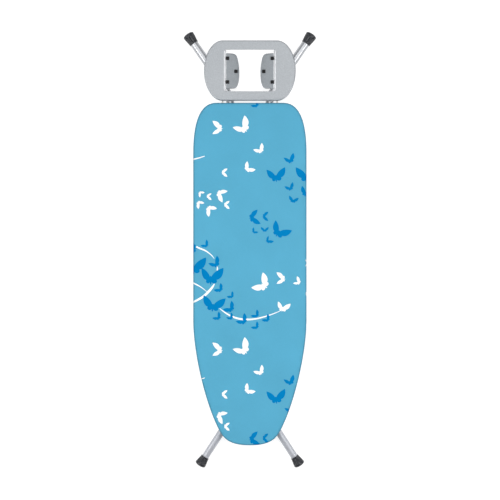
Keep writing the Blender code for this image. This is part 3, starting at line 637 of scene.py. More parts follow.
# ---------------------------------------------------------------- cover print
# Millimetres in the row frame: x, y, size over all, heading of the head in degrees.
# The print repeats along the board.
REPEAT = 0.776
DARK_BUTTERFLIES = (
    (137, 321, 38, 117), (91, 263, 66, 98), (200, 262, 79, 90), (137, 222, 32, 118),
    (202, 205, 46, 70), (154, 177, 34, 76), (17, 115, 51, 12), (54, 117, 32, 0),
    (19, 68, 22, 45), (52, 71, 27, 90), (114, 73, 67, 58), (70, 36, 28, 45),
    (-204, 6, 54, 180), (-159, 22, 28, 135), (-197, -57, 88, 90), (-126, -41, 41, 132),
    (-131, -93, 77, 90), (-111, -132, 32, 135), (-69, -157, 25, 135), (-124, -188, 78, 82),
    (-75, -198, 40, 135), (-117, -231, 30, 135), (-71, -232, 26, 135), (-30, -241, 40, 135),
    (17, -223, 29, 135), (55, -238, 29, 135), (17, -264, 28, 135),
)
WHITE_BUTTERFLIES = (
    (-113, 428, 46, 180), (-32, 440, 61, 135), (30, 356, 36, 128), (1, 291, 38, 45),
    (-89, 270, 29, 0), (-169, 194, 22, -45), (-143, 186, 23, 0), (-97, 188, 44, -25),
    (-81, 157, 28, 0), (-173, 157, 29, -45), (-134, 135, 39, -45), (35, -111, 64, 143),
    (109, -99, 40, 180), (164, -107, 29, 150), (120, -199, 45, 80), (203, -154, 25, 0),
    (205, -264, 22, 0), (202, -46, 23, 180),
)
# Centre lines of the white strokes with their widths, in millimetres
STROKES = (
    ((-188, 11, 5.6), (-176, 5, 5.6), (-158, -1, 4.7), (-142, -12, 3.7), (-131, -22, 2.6),
     (-125, -31, 1.4)),
    ((-114, -58, 1.7), (-113.5, -67, 5.7), (-114, -76, 1.7)),
    ((-124, -119, 2.6), (-131, -131, 7.5), (-143, -145, 8.4), (-158, -160, 8.4), (-176, -172, 7.1),
     (-196, -182, 6.1), (-236, -200, 4.3)),
    ((-236, -102, 5.7), (-196, -117, 5.0), (-178, -126, 4.0), (-162, -137, 2.6), (-150, -147, 1.2)),
    ((-106, -205, 1.4), (-90, -218, 3.7), (-72, -229, 5.6), (-52, -238, 6.3), (-30, -243, 6.4),
     (-5, -244.5, 6.3), (20, -242, 5.4), (42, -237, 4.5), (68, -229, 3.7), (90, -221, 2.8),
     (110, -212, 1.4)),
    ((-240, 309, 5.2), (-196, 317, 4.7), (-176, 322, 4.0), (-158, 328, 2.4)),
)
# Right half of a butterfly, head up, from head to tail: cubic pieces
WING = (
    ((0.0, 0.24), (0.03, 0.24), (0.05, 0.22), (0.06, 0.18)),
    ((0.06, 0.18), (0.13, 0.38), (0.44, 0.69), (0.90, 0.80)),
    ((0.90, 0.80), (0.92, 0.46), (0.84, 0.04), (0.42, -0.05)),
    ((0.42, -0.05), (0.51, -0.14), (0.42, -0.28), (0.26, -0.29)),
    ((0.26, -0.29), (0.17, -0.29), (0.10, -0.24), (0.07, -0.19)),
    ((0.07, -0.19), (0.06, -0.29), (0.03, -0.36), (0.0, -0.39)),
)


def butterfly(x, y, size, heading):
    """One printed butterfly's outline; one pair of wings is foreshortened, as in flight."""
    steps = 4 if size < 30 else 6
    half = np.vstack([bezier(part, steps) for part in WING])
    lean = 0.84 + 0.16 * math.sin(x * 0.37 + y * 0.11)
    other = half[:0:-1] * (-lean, 1)
    shape = np.vstack([half, [WING[-1][-1]], other])
    turn = math.radians(heading - 90)
    cos, sin = math.cos(turn), math.sin(turn)
    shape = shape @ np.array([(cos, sin), (-sin, cos)])
    low, high = shape.min(0), shape.max(0)
    shape = (shape - (low + high) / 2) * (size / (high - low).max())
    return (shape + (x, y)) / 1000


def stroke(points):
    """A tapering stroke's outline."""
    line = np.array(points, float) / 1000
    at, fine = np.arange(len(line)), np.linspace(0, len(line) - 1, 5 * len(line))
    line = np.column_stack([np.interp(fine, at, line[:, k]) for k in range(3)])
    smooth = np.array([line[max(0, i - 3):i + 4].mean(0) for i in range(len(line))])
    smooth[0], smooth[-1] = line[0], line[-1]
    ahead = np.gradient(smooth[:, :2], axis=0)
    ahead /= np.linalg.norm(ahead, axis=1)[:, None]
    side = np.column_stack([-ahead[:, 1], ahead[:, 0]]) * smooth[:, 2:] / 2
    return np.vstack([smooth[:, :2] + side, (smooth[:, :2] - side)[::-1]])


def printed():
    """Every motif that lands on the cut, as (outline, material index)."""
    motifs = []
    for index, made in ((2, [stroke(s) for s in STROKES]),
                        (2, [butterfly(*b) for b in WHITE_BUTTERFLIES]),
                        (1, [butterfly(*b) for b in DARK_BUTTERFLIES])):
        for shape in made:
            for copy in (-1, 0, 1):
                moved = shape + (0, copy * REPEAT)
                _, outs = locate(moved)
                if outs.min() < SECTION_END - 0.004:
                    motifs.append((moved, index))
    return motifs


def within(points, outline):
    """Which points lie inside an outline."""
    low, high = outline.min(0), outline.max(0)
    near = np.flatnonzero(((points > low) & (points < high)).all(1))
    inside = np.zeros(len(points), bool)
    p = points[near]
    odd = np.zeros(len(near), bool)
    for a, b in zip(outline, np.roll(outline, -1, 0)):
        if a[1] == b[1]:
            continue
        crosses = (a[1] > p[:, 1]) != (b[1] > p[:, 1])
        odd ^= crosses & (p[:, 0] < a[0] + (p[:, 1] - a[1]) * (b[0] - a[0]) / (b[1] - a[1]))
    inside[near] = odd
    return inside


def flat_mesh(levels, spacing, motifs=()):
    """Triangles over the flat cut: rings at distances past the fold line, and a grid inside."""
    points, edges = [], []

    def add_loop(loop):
        first = len(points)
        points.extend(map(tuple, loop))
        edges.extend((first + i, first + (i + 1) % len(loop)) for i in range(len(loop)))
    for level in levels:
        add_loop((FOLD_LINE + OUTLINE_NORMALS * level)[::2])
    for shape, _ in motifs:
        add_loop(shape)
    rows = np.arange(NOSE_Y, TAIL_Y, spacing * 0.866)
    grid = np.array([(x + (k % 2) * spacing / 2, y) for k, y in enumerate(rows)
                     for x in np.arange(-HALF_WIDTH, HALF_WIDTH, spacing)])
    _, outs = locate(grid)
    points.extend(map(tuple, grid[outs < min(levels) - spacing * 0.6]))
    out = delaunay_2d_cdt([Vector(p) for p in points], edges, [], 0, 1e-6, False)
    verts = np.array([tuple(v) for v in out[0]])
    tris = np.array([f for f in out[2] if len(f) == 3])
    centres = verts[tris].mean(1)
    _, outs = locate(centres)
    keep = outs < max(levels)
    return verts, tris[keep], centres[keep]


def open_edges(tris):
    """The edges that only one triangle has, each in that triangle's direction."""
    spare = {}
    for tri in tris:
        for edge in zip(tri, np.roll(tri, -1)):
            if spare.pop(edge[::-1], None) is None:
                spare[edge] = True
    return list(spare)


def make_cover():
    """The fitted cover with its print, sides, gathered hem and the casing round the elastic."""
    levels = [-0.012, -0.005, 0.0]
    levels += list(SECTION_RUN[2:EDGE_LAST + 1:2])
    levels += list(np.linspace(SECTION_RUN[EDGE_LAST], SECTION_RUN[FOLD_FIRST], 5)[1:])
    levels += list(SECTION_RUN[FOLD_FIRST + 2:FOLD_LAST + 1:2])
    levels += list(np.linspace(UNDER_START, HEM_EDGE, 9)[1:])
    levels += list(SECTION_RUN[CASING_FIRST + 2::2])
    levels = sorted(set(round(float(v), 6) for v in levels))
    levels[-1] = float(SECTION_END)
    motifs = printed()
    flat, tris, centres = flat_mesh(levels, 0.015, motifs)
    colours = np.zeros(len(tris), int)
    for shape, index in motifs:
        colours[within(centres, shape)] = index

    runs, outs = locate(flat)
    outer, normals = place(runs, np.maximum(outs, 0))
    top = outs < 0
    outer[top, :2] = flat[top]
    outer[top, 2] = TOP_Z + crown(flat[top], -outs[top])
    normals[top] = (0, 0, 1)
    inner = outer - normals * CLOTH

    count = len(outer)
    faces = [tuple(t) for t in tris] + [tuple(t[::-1] + count) for t in tris]
    faces += [(b, a, a + count, b + count) for a, b in open_edges(tris)]
    colours = np.concatenate([colours, np.zeros(len(faces) - len(tris), int)])
    points = np.vstack([outer, inner])
    used = np.zeros(len(points), bool)
    used[[i for f in faces for i in f]] = True
    number = np.cumsum(used) - 1
    faces = [tuple(int(number[i]) for i in f) for f in faces]
    flats = np.vstack([flat, flat])[used]

    mesh = bpy.data.meshes.new("fitted_cover")
    mesh.from_pydata([tuple(p) for p in points[used]], [], faces)
    for key in ("cover", "dark", "white"):
        mesh.materials.append(M[key])
    mesh.polygons.foreach_set("material_index", colours.astype(np.int32))
    layer = mesh.uv_layers.new(name="flat")
    corners = np.zeros(len(mesh.loops), np.int32)
    mesh.loops.foreach_get("vertex_index", corners)
    layer.data.foreach_set("uv", flats[corners].astype(np.float32).ravel())
    mesh.shade_smooth()
    mesh.set_sharp_from_angle(angle=math.radians(70))
    fitted = add_object("fitted_cover", mesh)
    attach(fitted, "board")
    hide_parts("cover")
    return fitted


def make_stitches():
    """The seam that closes the elastic's casing, seen on the hem's underside."""
    pitch, length, radius, sides = 0.0042, 0.0031, 0.00032, 5
    count = int(PERIMETER / pitch)
    stitches = []
    for k in range(count):
        run = k * PERIMETER / count + length * np.array((-0.5, -0.3, 0.3, 0.5))
        points, normals = place(run, np.full(4, HEM_EDGE - CASING + 0.0012))
        along = points[3] - points[0]
        along /= np.linalg.norm(along)
        across = np.cross(normals[0], along)
        rings = []
        for point, normal, lift in zip(points, normals, (-0.0005, 0.00018, 0.00018, -0.0005)):
            turns = (math.tau * j / sides for j in range(sides))
            rings.append([point + normal * lift
                          + (across * math.cos(a) + normal * math.sin(a)) * radius for a in turns])
        stitches.append(loft(rings))
    seam = piece("hem_stitching", gathered(stitches), M["thread"], "board")
    seam.data.uv_layers.new(name="flat")
    return seam


def make_underlay():
    """The felt pad: rounded edges and a crowned top under the cover."""
    top, bottom = TOP_Z - CLOTH - 0.0004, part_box("underlay_pad")[0].z
    flat, tris, _ = flat_mesh([-0.004, 0.0], 0.024)
    _, outs = locate(flat)
    inside = np.maximum(-outs, 0)
    follow = dict(open_edges(tris))
    loop = [next(iter(follow))]
    while follow[loop[-1]] != loop[0]:
        loop.append(follow[loop[-1]])
    upper = np.column_stack([flat, top + crown(flat, inside)])
    lower = np.column_stack([flat, np.full(len(flat), bottom)])
    rim = flat[loop]
    out = outward(rim)
    radius, height = EDGE_RADIUS - CLOTH - 0.0004, top - bottom
    rounding = [(radius * math.sin(a), top - height * 0.62 * (1 - math.cos(a)))
                for a in map(math.radians, (25, 50, 75))]
    verts = [upper, lower]
    rings = [np.array(loop)]
    for reach, level in rounding + [(radius, bottom + height * 0.25),
                                    (radius * 0.86, bottom + 0.0003)]:
        rings.append(sum(map(len, verts)) + np.arange(len(rim)))
        verts.append(np.column_stack([rim + out * reach, np.full(len(rim), level)]))
    rings.append(np.array(loop) + len(flat))
    faces = [tuple(t) for t in tris] + [tuple(t[::-1] + len(flat)) for t in tris]
    for a, b in zip(rings, rings[1:]):
        faces += zip(a, b, np.roll(b, -1), np.roll(a, -1))
    used = sorted({int(i) for f in faces for i in f})
    number = {v: k for k, v in enumerate(used)}
    faces = [tuple(number[int(i)] for i in f) for f in faces]
    return piece("underlay_felt", (np.vstack(verts)[used], faces), M["felt"], "board",
                 ["underlay_pad"], sharp=60)


cover = make_cover()
stitching = make_stitches()
underlay = make_underlay()


# ---------------------------------------------------------------- frame under the cover
def make_rim():
    gap = 0.0013
    z = HEM_Z + gap + RIM_RADIUS
    path = [(x, y, z) for x, y in offset(-(gap + RIM_RADIUS), 4)]
    piece("rim", swept(path, RIM_RADIUS, 20, closed=True), M["frame_paint"], "board",
          ["rim_tube"])


def make_deck():
    """Expanded metal: zigzag strands that meet at their points."""
    low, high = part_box("mesh_deck")
    inset, end_zone = 0.0055, 0.02
    edge = offset(-inset)
    right = edge[edge[:, 0] > 0.02]
    right = right[right[:, 1].argsort()]
    pitch, cell, strand = 0.0125, 0.026, 0.0011
    section = ((-strand / 2, low.z), (strand / 2, low.z),
               (strand / 2, high.z), (-strand / 2, high.z))
    strands = []
    for row in range(int((TAIL_Y - NOSE_Y - 2 * inset) / pitch)):
        y = NOSE_Y + inset + (row + 0.5) * pitch
        if NOSE_Y + end_zone <= y <= TAIL_Y - end_zone:
            half = np.interp(y, right[:, 1], right[:, 0])
        else:
            half = np.abs(edge[np.abs(edge[:, 1] - y) < 0.008, 0]).min()
        steps = max(2, int(2 * half / (cell / 2)))
        rings = []
        for i, x in enumerate(np.linspace(-half, half, steps + 1)):
            up = (pitch / 2 - strand * 0.45) * (1 if (i + row) % 2 else -1)
            rings.append([(x, y + up + dy, z) for dy, z in section])
        strands.append(loft(rings))
    piece("expanded_deck", gathered(strands), M["galvanised"], "board",
          ["mesh_deck"], sharp=20)


def make_elastic():
    line = offset(-(HEM_WIDTH - 0.0030), 3)
    z = HEM_Z + CASING_RISE + 0.0002
    runs, _ = locate(line)
    low, _ = place(runs, np.full(len(runs), HEM_EDGE - 0.002))
    points = np.column_stack([line, low[:, 2] + z - HEM_Z])
    piece("hem_elastic_braid", swept(points, 0.0012, 10, closed=True), M["elastic"], "board",
          ["hem_elastic"])


make_rim()
make_deck()
make_elastic()


# ---------------------------------------------------------------- legs
FLUTES, FLUTE_DEPTH = 10, 0.17   # round a rubber foot, as a share of its radius


def foot_of(leg, s, towards):
    direction = Vector((s * math.sin(leg["angle"]), towards * math.cos(leg["angle"]), 0.0))
    spread = (FOOT_REACH - leg["bend_y"]) * math.tan(leg["angle"])
    return Vector((s * (leg["x"] + spread), towards * FOOT_REACH, LEG_Z)), direction


def leg_path(leg, s, towards):
    start = Vector((s * leg["x"], -towards * (PIVOT_REACH + TOP_STUB), LEG_Z))
    tangent = BEND_RADIUS * math.tan(leg["angle"] / 2)
    centre = Vector((s * (leg["x"] + BEND_RADIUS), towards * (leg["bend_y"] - tangent), LEG_Z))
    bend = [centre + Vector((-s * BEND_RADIUS * math.cos(turn),
                             towards * BEND_RADIUS * math.sin(turn), 0.0))
            for turn in (leg["angle"] * k / 14 for k in range(15))]
    foot, direction = foot_of(leg, s, towards)
    return [start] + bend + [foot - direction * CAP_SOLID]


def foot_shape(leg):
    """A foot's section from its domed end back to its neck and into its bore."""
    wide, neck, length = leg["cap"], leg["neck"], leg["cap_length"]
    bore = leg["radius"] + CLEAR
    dome = [(0.0042, 0.001), (0.0040, wide * 0.25), (0.0033, wide * 0.5), (0.0019, wide * 0.75),
            (0.0003, wide * 0.9), (-0.0014, wide * 0.975), (-0.0032, wide), (-0.0056, wide * 0.995)]
    taper = [(-0.0066 - (length - 0.0096) * t, wide * 0.985 + (neck + 0.0006 - wide * 0.985) * t)
             for t in np.linspace(0, 1, 9)]
    lip = [(-length + 0.0022, neck + 0.0011), (-length + 0.0008, neck + 0.0011),
           (-length, neck + 0.0004), (-length, bore), (-CAP_SOLID + CLEAR, bore)]
    return dome + taper + lip


def make_leg(prefix, leg, towards, body, finish):
    length, radius = leg["cap_length"], leg["radius"]
    shank = radius - LEG_WALL - CLEAR
    plug = ((-0.009, shank - 0.0012), (-0.008, shank), (CLEAR, shank), (CLEAR, radius - 0.0006),
            (0.0009, radius - 0.0006), (0.0015, radius - 0.0016), (0.0018, radius * 0.4))

    def flute(turn, along):
        fade = smooth_step(along, -length + 0.004, -length + 0.009)
        fade *= 1 - smooth_step(along, -0.011, -0.0068)
        return 1 - FLUTE_DEPTH * float(fade) * (0.5 - 0.5 * math.cos(FLUTES * turn)) ** 1.3

    for side, s in SIDES.items():
        path = leg_path(leg, s, towards)
        piece(f"{prefix}_leg_tube_{side}", swept(path, radius, 32, wall=LEG_WALL), M[finish], body,
              [f"{prefix}_tube_{side}"])
        foot = turned(foot_shape(leg), *foot_of(leg, s, towards), 120, flute=flute)
        piece(f"{prefix}_rubber_foot_{side}", foot, M["rubber"], body,
              [f"{prefix}_foot_{side}"], sharp=50)
        piece(f"{prefix}_end_plug_{side}", turned(plug, path[0], Y * -towards, 32), M["plastic"],
              body, [f"{prefix}_plug_{side}"])


def weld(name, centre, axis, radius, body, finish):
    """A small rippled bead round the end of a brace."""
    centre, axis = Vector(centre), Vector(axis)
    side = axis.cross(Z)
    rings = []
    for k in range(40):
        turn = math.tau * k / 40
        spoke = side * math.cos(turn) + Z * math.sin(turn)
        bead = 0.0011 + 0.00022 * math.sin(11 * turn) + 0.00012 * math.sin(23 * turn + 1)
        rings.append([centre + spoke * radius + (spoke * math.cos(a) + axis * math.sin(a)) * bead
                      for a in (math.tau * j / 8 for j in range(8))])
    piece(name, loft(rings, True), M[finish], body)


def make_brace(name, y, half, radius, body, finish):
    piece(name + "_bar", swept([(-half, y, LEG_Z), (half, y, LEG_Z)], radius, 28, wall=LEG_WALL),
          M[finish], body, [name])
    for side, s in SIDES.items():
        weld(f"{name}_weld_{side}", (s * (half - 0.0004), y, LEG_Z), X, radius + 0.0002, body,
             finish)


make_leg("rear", REAR, 1, "rear_leg", "rear_paint")
make_leg("front", FRONT, -1, "front_leg", "front_paint")
for brace, at_y, bar_radius, tubes, leg_body, paint in (
        ("rear_brace", 0.475, 0.010, REAR, "rear_leg", "rear_paint"),
        ("front_brace_lower", -0.470, 0.008, FRONT, "front_leg", "front_paint"),
        ("front_brace_upper", 0.060, 0.008, FRONT, "front_leg", "front_paint")):
    make_brace(brace, at_y, tubes["x"] - tubes["radius"] - CLEAR, bar_radius, leg_body, paint)


# ---------------------------------------------------------------- fasteners
def dome(length, radius, height):
    """A round head's section: its rim and its crown."""
    return [(length + height * along, radius * wide)
            for along, wide in ((0, 1), (0.35, 1), (0.7, 0.86), (0.92, 0.6), (1, 0.3))]


def nylon_ring(node, radius, centre, axis):
    """A ring on a pin, with its ends at the CAD node's."""
    low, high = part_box(node)
    near, far = sorted((abs(low.x), abs(high.x)))
    section = [(near, radius), (far, radius), (far, PIN + CLEAR), (near, PIN + CLEAR)]
    return turned(section, centre, axis, closed=True)


def make_fasteners():
    gap, sheet = REAR["radius"] + 0.0005, 0.0018
    head = gap + sheet + CLEAR
    origin, rod_centre = (0.0, 0.0, LEG_Z), (0.0, PIVOT_REACH, LEG_Z)
    for side, s in SIDES.items():
        axis = X * s
        pin = [(-head - 0.003, 0.0035), (-head - 0.0015, 0.006), (-head, 0.006), (-head, PIN),
               (head, PIN)] + dome(head, 0.007, 0.003)
        piece(f"pivot_rivet_{side}", turned(pin, (s * REAR["x"], -PIVOT_REACH, LEG_Z), axis),
              M["zinc"], "board", [f"pivot_pin_{side}"], bevel=0.0003)

        low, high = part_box(f"middle_nut_{side}")
        near = low.x if s > 0 else -high.x
        head_at = REAR["x"] + REAR["radius"] + CLEAR
        bolt = [(near - 0.001, PIN - 0.0008), (near - 0.0003, PIN), (head_at, PIN)]
        piece(f"crossing_bolt_{side}", turned(bolt + dome(head_at, 0.008, 0.0045), origin, axis),
              M["zinc"], "rear_leg", [f"middle_bolt_{side}"], bevel=0.0003)
        piece(f"crossing_washer_{side}", nylon_ring(f"middle_spacer_{side}", 0.0088, origin, axis),
              M["nylon"], "rear_leg", [f"middle_spacer_{side}"], bevel=0.0005)
        piece(f"rod_glide_{side}", nylon_ring(f"slide_glide_{side}", 0.0069, rod_centre, axis),
              M["nylon"], "front_leg", [f"slide_glide_{side}"], bevel=0.0006)

    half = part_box("slide_rod")[1].x
    end = [(half - 0.002, PIN), (half - 0.002, 0.0055), (half - 0.0007, 0.0055), (half, PIN)]
    rod = [(-along, radius) for along, radius in reversed(end)] + end
    piece("adjuster_rod", turned(rod, rod_centre, X), M["zinc"], "front_leg",
          ["slide_rod"], bevel=0.0003)


def make_lever():
    x, z = 0.060, 0.047
    low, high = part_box("lever_shaft")
    shaft = [(low.y, 0.0052), (low.y + 0.002, 0.0052), (low.y + 0.002, PIN),
             (high.y - 0.002, PIN), (high.y - 0.002, 0.0052), (high.y, 0.0052)]
    piece("release_shaft", turned(shaft, (x, 0, z), Y), M["zinc"], "release_lever",
          ["lever_shaft"], bevel=0.0003)

    wire, coil, first_y, pitch, steps = 0.0007, 0.0050, 0.262, 0.0026, 24
    path = [Vector((x + 0.013, first_y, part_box("lever_bearing_rear")[0].z + wire))]
    for i in range(4 * steps + 13):
        turn = math.tau * i / steps
        path.append(Vector((x - coil * math.sin(turn), first_y + pitch * i / steps,
                            z - coil * math.cos(turn))))
    last = path[-1].y
    for out, on in ((0.007, 0.004), (0.012, 0.015)):
        path.append(Vector((x + out, last + on, z + 0.0045)))
    piece("return_spring", swept(path, wire, 8, up=Y), M["zinc"], "board",
          ["lever_return_spring"])

    low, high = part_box("lever_grip")
    centre, half = (low + high) / 2, (high - low) / 2
    round_by, rings = 0.012, []
    for share, pull in ((-1.0, 0.0060), (-0.94, 0.0035), (-0.78, 0.0014), (-0.5, 0.0003),
                        (-0.1, 0.0), (0.5, 0.0002), (0.85, 0.0010), (1.0, 0.0024)):
        ring = rounded(half.x - round_by, half.y - round_by, round_by - pull, 8)
        # The underside has two shallow finger dips
        dips = [0.0016 * math.exp(-((abs(py) - 0.014) / 0.008) ** 2) if share < 0 else 0.0
                for _, py in ring]
        rings.append([(centre.x + px, centre.y + py, centre.z + half.z * share + dip)
                      for (px, py), dip in zip(ring, dips)])
    piece("release_grip", loft(rings), M["plastic"], "release_lever",
          ["lever_grip"], sharp=50)


make_fasteners()
make_lever()

# CAD nodes whose shape is right: softened edges and a finish
for node, key, width in (
        [(f"cross_member_{part}", "frame_paint", 0.0012) for part in ("front", "middle", "rear")]
        + [(f"pivot_bracket_{side}", "frame_paint", 0.0005) for side in SIDES]
        + [(f"rack_plate_{side}", "galvanised", 0.0003) for side in SIDES]
        + [(f"middle_nut_{side}", "zinc", 0.0005) for side in SIDES]
        + [(f"lever_bearing_{part}", "nylon", 0.0006) for part in ("front", "rear")]
        + [("lever_push_bar", "galvanised", 0.0004), ("lever_arm", "galvanised", 0.0005)]):
    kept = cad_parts[node]
    for material_slot in kept.material_slots:
        material_slot.material = M[key]
    round_edges(kept, width)


# ---------------------------------------------------------------- iron rest
RING_POINTS = 192


def rest_ring(inset, z):
    """The iron rest's outline, drawn in by a distance."""
    right = arc((REST_STRAIGHT, 0), 1.0, -90, 90, 60)
    right = [(REST_STRAIGHT + (px - REST_STRAIGHT) * REST_END_X, py * REST_HALF_Y)
             for px, py in right]
    shape = even(np.array(right + [(-px, py) for px, py in reversed(right)]), RING_POINTS)
    shape = shape - outward(shape) * inset
    return np.column_stack([shape[:, 0], shape[:, 1] + REST_Y, np.full(RING_POINTS, z)])


def window_ring(grow, z):
    """The window's outline, matched point for point to the rest's outline."""
    shape = rounded(WINDOW[0] - WINDOW_CORNER, WINDOW[1] - WINDOW_CORNER, WINDOW_CORNER + grow, 8,
                    first=3)
    dense = even(np.array(shape), 4000)
    outer = rest_ring(0.0, z)[:, :2] - (0, REST_Y)
    at, own = (np.arctan2(points[:, 1] / WINDOW[1], points[:, 0] / WINDOW[0])
               for points in (outer, dense))
    order = own.argsort()
    px, py = (np.interp(at, own[order], dense[order, k], period=math.tau) for k in (0, 1))
    return np.column_stack([px, py + REST_Y, np.full(RING_POINTS, z)])


def make_rest():
    top, under = REST_TOP, REST_TOP - REST_SHEET
    r, t = REST_ROUND, REST_SHEET

    def bend(radius, turns):
        return [rest_ring(r - radius * math.sin(a), top - r + radius * math.cos(a))
                for a in map(math.radians, turns)]

    rings = [window_ring(0.0, top - 0.0003), window_ring(0.0003, top), window_ring(0.0015, top),
             rest_ring(r + 0.004, top)]
    rings += bend(r, range(0, 91, 15))
    rings += [rest_ring(0.0003, REST_BOTTOM), rest_ring(t, REST_BOTTOM), rest_ring(t, top - r)]
    rings += bend(r - t, range(75, -1, -25))
    rings += [rest_ring(r + 0.004, under), window_ring(0.0003, under),
              window_ring(0.0, under + 0.0003)]
    piece("iron_rest_ring", loft(rings, True), M["rest_paint"], "board",
          ["iron_rest_plate"], sharp=50)


WING_TILT = 9.5              # the flap's, in degrees
WING_STEEPEST = 48           # the bend's, at the window's edge
# The flap's edge in metres: inward from the window's side, and along it from the lower corner
WING_EDGE = np.array((
    (0.0072, -0.0630), (0.0300, -0.0630), (0.0360, -0.0624), (0.0410, -0.0602), (0.0448, -0.0562),
    (0.0476, -0.0500), (0.0500, -0.0430), (0.0518, -0.0334), (0.0532, -0.0193), (0.0535, -0.0050),
    (0.0530, 0.0080), (0.0514, 0.0229), (0.0490, 0.0370), (0.0462, 0.0480), (0.0432, 0.0542),
    (0.0390, 0.0582), (0.0330, 0.0604), (0.0240, 0.0612), (0.0072, 0.0615)))


def wing_line():
    """The wing's middle plane across its depth: inward distance and height from the ring's."""
    radius, step = 0.0045, 0.0008
    bend = [(radius * math.sin(a), -radius * (1 - math.cos(a)))
            for a in np.radians(np.linspace(0, WING_STEEPEST, 6))]
    x, z = bend[-1]
    back = math.radians(WING_STEEPEST)
    for a in np.radians(np.linspace(WING_STEEPEST, WING_TILT, 6))[1:]:
        middle = (a + back) / 2
        x, z = x + step * math.cos(middle), z - step * math.sin(middle)
        bend.append((x, z))
        back = a
    fall = math.tan(math.radians(WING_TILT))
    flap = [(u, z - (u - x) * fall) for u in np.linspace(x, WING_DEPTH, 16)[1:]]
    return np.array([(-0.0035, 0.0)] + bend + flap)


WING_LINE = wing_line()


def wing_level(inward):
    return float(np.interp(inward, WING_LINE[:, 0], WING_LINE[:, 1]))


def make_wing(side, s):
    """A wing bent down into the window: a bend as tall as it, then a flap with round corners."""
    cols, rows, root = 57, 15, 0.0070
    run = run_along(WING_EDGE)
    at = np.linspace(0, run[-1], cols)
    reach, along = (np.interp(at, run, WING_EDGE[:, k]) for k in (0, 1))
    tall = np.linspace(-WINDOW[1] + 0.0012, WINDOW[1] - 0.0012, cols)
    depths = [u for u in WING_LINE[:, 0] if u < root] + [root]
    grid = [[(u, v) for v in tall] for u in depths]
    droop = [0.0] * len(depths)
    start = root + 0.0002
    for share in np.linspace(0.0, 1.0, rows):
        grid.append([(start + (u - start) * share, w + (v - w) * share ** 0.5)
                     for u, v, w in zip(reach, along, np.linspace(*WING_YS, cols))])
        droop.append(0.0016 * share ** 5)
    half = (REST_SHEET - 0.0002) / 2
    base_z = REST_TOP - REST_SHEET / 2
    face = lambda lift: [[(s * (WINDOW[0] - u), REST_Y + v, base_z + wing_level(u) - fall + lift)
                          for u, v in row] for row, fall in zip(grid, droop)]
    # The flap is coloured with the darker copy of the rest's paint: painted shade
    wing = piece(f"iron_rest_wing_{side}", slab(face(half), face(-half)), M["shaded_wing_paint"], "board",
                 sharp=50)
    # The bend's faces take the bright painted-highlight colour
    wing.data.materials.append(M["bend_highlight"])
    for polygon in wing.data.polygons:
        if WINDOW[0] - abs(polygon.center.x) < root:
            polygon.material_index = 1


def make_rest_pads():
    """Square pads with soft edges, each on its wing."""
    tilt = math.radians(WING_TILT)
    base_z = REST_TOP - REST_SHEET / 2
    for side, s in SIDES.items():
        across = Vector((-s * math.cos(tilt), 0, -math.sin(tilt)))
        rise = Vector((-s * math.sin(tilt), 0, math.cos(tilt)))
        for spot, (px, py) in {"front": (0.0787, -0.0400), "middle": (0.049, -0.0020),
                               "rear": (0.0787, 0.0435)}.items():
            base = Vector((s * px, REST_Y + py, base_z + wing_level(WINDOW[0] - px) + 0.0007))
            rings = []
            for height, half in ((0.0, 0.0060), (0.0014, 0.0060), (0.0020, 0.0059),
                                 (0.0024, 0.0055), (0.0025, 0.0050), (0.0024, 0.0034)):
                flat = half - 0.0012
                rings.append([base + across * u + Y * v + rise * height
                              for u, v in rounded(flat, flat, 0.0012, 4)])
            piece(f"stand_pad_{side}_{spot}", loft(rings), M["pad_rubber"], "board",
                  [f"rest_pad_{side}_{spot}"])


def make_rest_wire():
    z = 0.038
    dip = HEM_Z - CLEAR - 0.003
    right = [(0.1000, 0.432, z), (0.1000, 0.456, z), (0.0995, 0.470, dip), (0.0965, 0.520, dip),
             (0.0955, 0.530, dip), (0.0950, 0.546, z), (0.0950, 0.600, z), (0.0950, 0.690, z)]
    right += [(px, py, z) for px, py in arc((0.0700, 0.6950), 0.0250, 0, 90, 10)]
    path = [(-px, py, pz) for px, py, pz in right] + right[::-1]
    piece("rest_support_wire", swept(eased(path, 2), 0.003, 16), M["wire"], "board",
          ["rest_wire"])


make_rest()
for wing_side, sign in SIDES.items():
    make_wing(wing_side, sign)
make_rest_pads()
make_rest_wire()


# ---------------------------------------------------------------- floor, light, camera
FLOOR_RADIUS, FLOOR_GLOW = 14, 0.80
CAMERA_DISTANCE, CAMERA_LENS, SENSOR_WIDTH = 4.861, 100, 36


def add_light(name, place_at, aim, size, power):
    data = bpy.data.lights.new(name, "AREA")
    data.shape = "RECTANGLE"
    data.size, data.size_y = size
    data.energy = power
    light = add_object(name, data)
    light.location = place_at
    light.rotation_euler = (Vector(aim) - Vector(place_at)).to_track_quat("-Z", "Y").to_euler()
    light.visible_camera = False


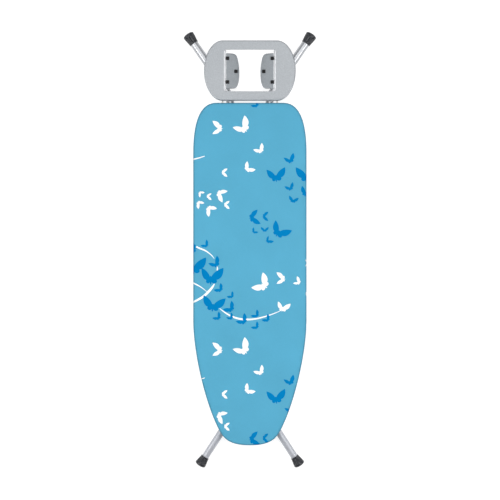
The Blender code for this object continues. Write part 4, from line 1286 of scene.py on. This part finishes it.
def make_floor():
    """A pale floor that stays under the feet when the legs open."""
    bpy.ops.mesh.primitive_circle_add(vertices=96, radius=FLOOR_RADIUS, fill_type="NGON")
    floor = bpy.context.object
    floor.name = "studio_floor"
    m = Nodes("floor_white", (0.36, 0.36, 0.36), 0.9, Specular_IOR_Level=0.1)
    m.colour(m.blend(m.noise(1.3, 3), (0.35, 0.35, 0.35), (0.37, 0.37, 0.37)))
    m.set("Emission Color", (1, 1, 1, 1))
    m.set("Emission Strength", FLOOR_GLOW)
    floor.data.materials.append(m.material)
    contact = add_object("foot_contact")
    contact.location = (0.0, FOOT_REACH, 0.0)
    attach(contact, "rear_leg")
    hold = floor.constraints.new("COPY_LOCATION")
    hold.target = contact
    hold.use_x = hold.use_y = False


def make_world():
    """A sky that is bright where it meets the floor and dimmer overhead."""
    world = bpy.data.worlds.new("studio")
    bpy.context.scene.world = world
    world.use_nodes = True
    tree = world.node_tree
    background = tree.nodes["Background"]
    heading = tree.nodes.new("ShaderNodeTexCoord")
    parts = tree.nodes.new("ShaderNodeSeparateXYZ")
    rise = tree.nodes.new("ShaderNodeMapRange")
    rise.interpolation_type = "SMOOTHSTEP"
    for key, value in (("From Min", 0.01), ("From Max", 0.28), ("To Min", 1.04), ("To Max", 0.32)):
        rise.inputs[key].default_value = value
    tree.links.new(heading.outputs["Generated"], parts.inputs[0])
    tree.links.new(parts.outputs[2], rise.inputs["Value"])
    tree.links.new(rise.outputs[0], background.inputs["Strength"])
    background.inputs["Color"].default_value = (0.97, 0.985, 1.0, 1)


make_floor()
make_world()
add_light("overhead", (0, 1.5, 5.6), aim=(0, 0, 0), size=(4.6, 4.6), power=125)
for box, x in (("left", -1.9), ("right", 1.9)):
    add_light(f"softbox_{box}", (x, -0.25, 1.9), aim=(0, 0.3, 0), size=(1.5, 1.5), power=32)

camera_data = bpy.data.cameras.new("camera")
camera_data.lens = CAMERA_LENS
camera_data.sensor_width = SENSOR_WIDTH
camera = add_object("camera", camera_data)
camera.location = (0.0004, -0.0007, TOP_Z + CAMERA_DISTANCE)
bpy.context.scene.camera = camera
bpy.context.scene.view_settings.view_transform = "Standard"
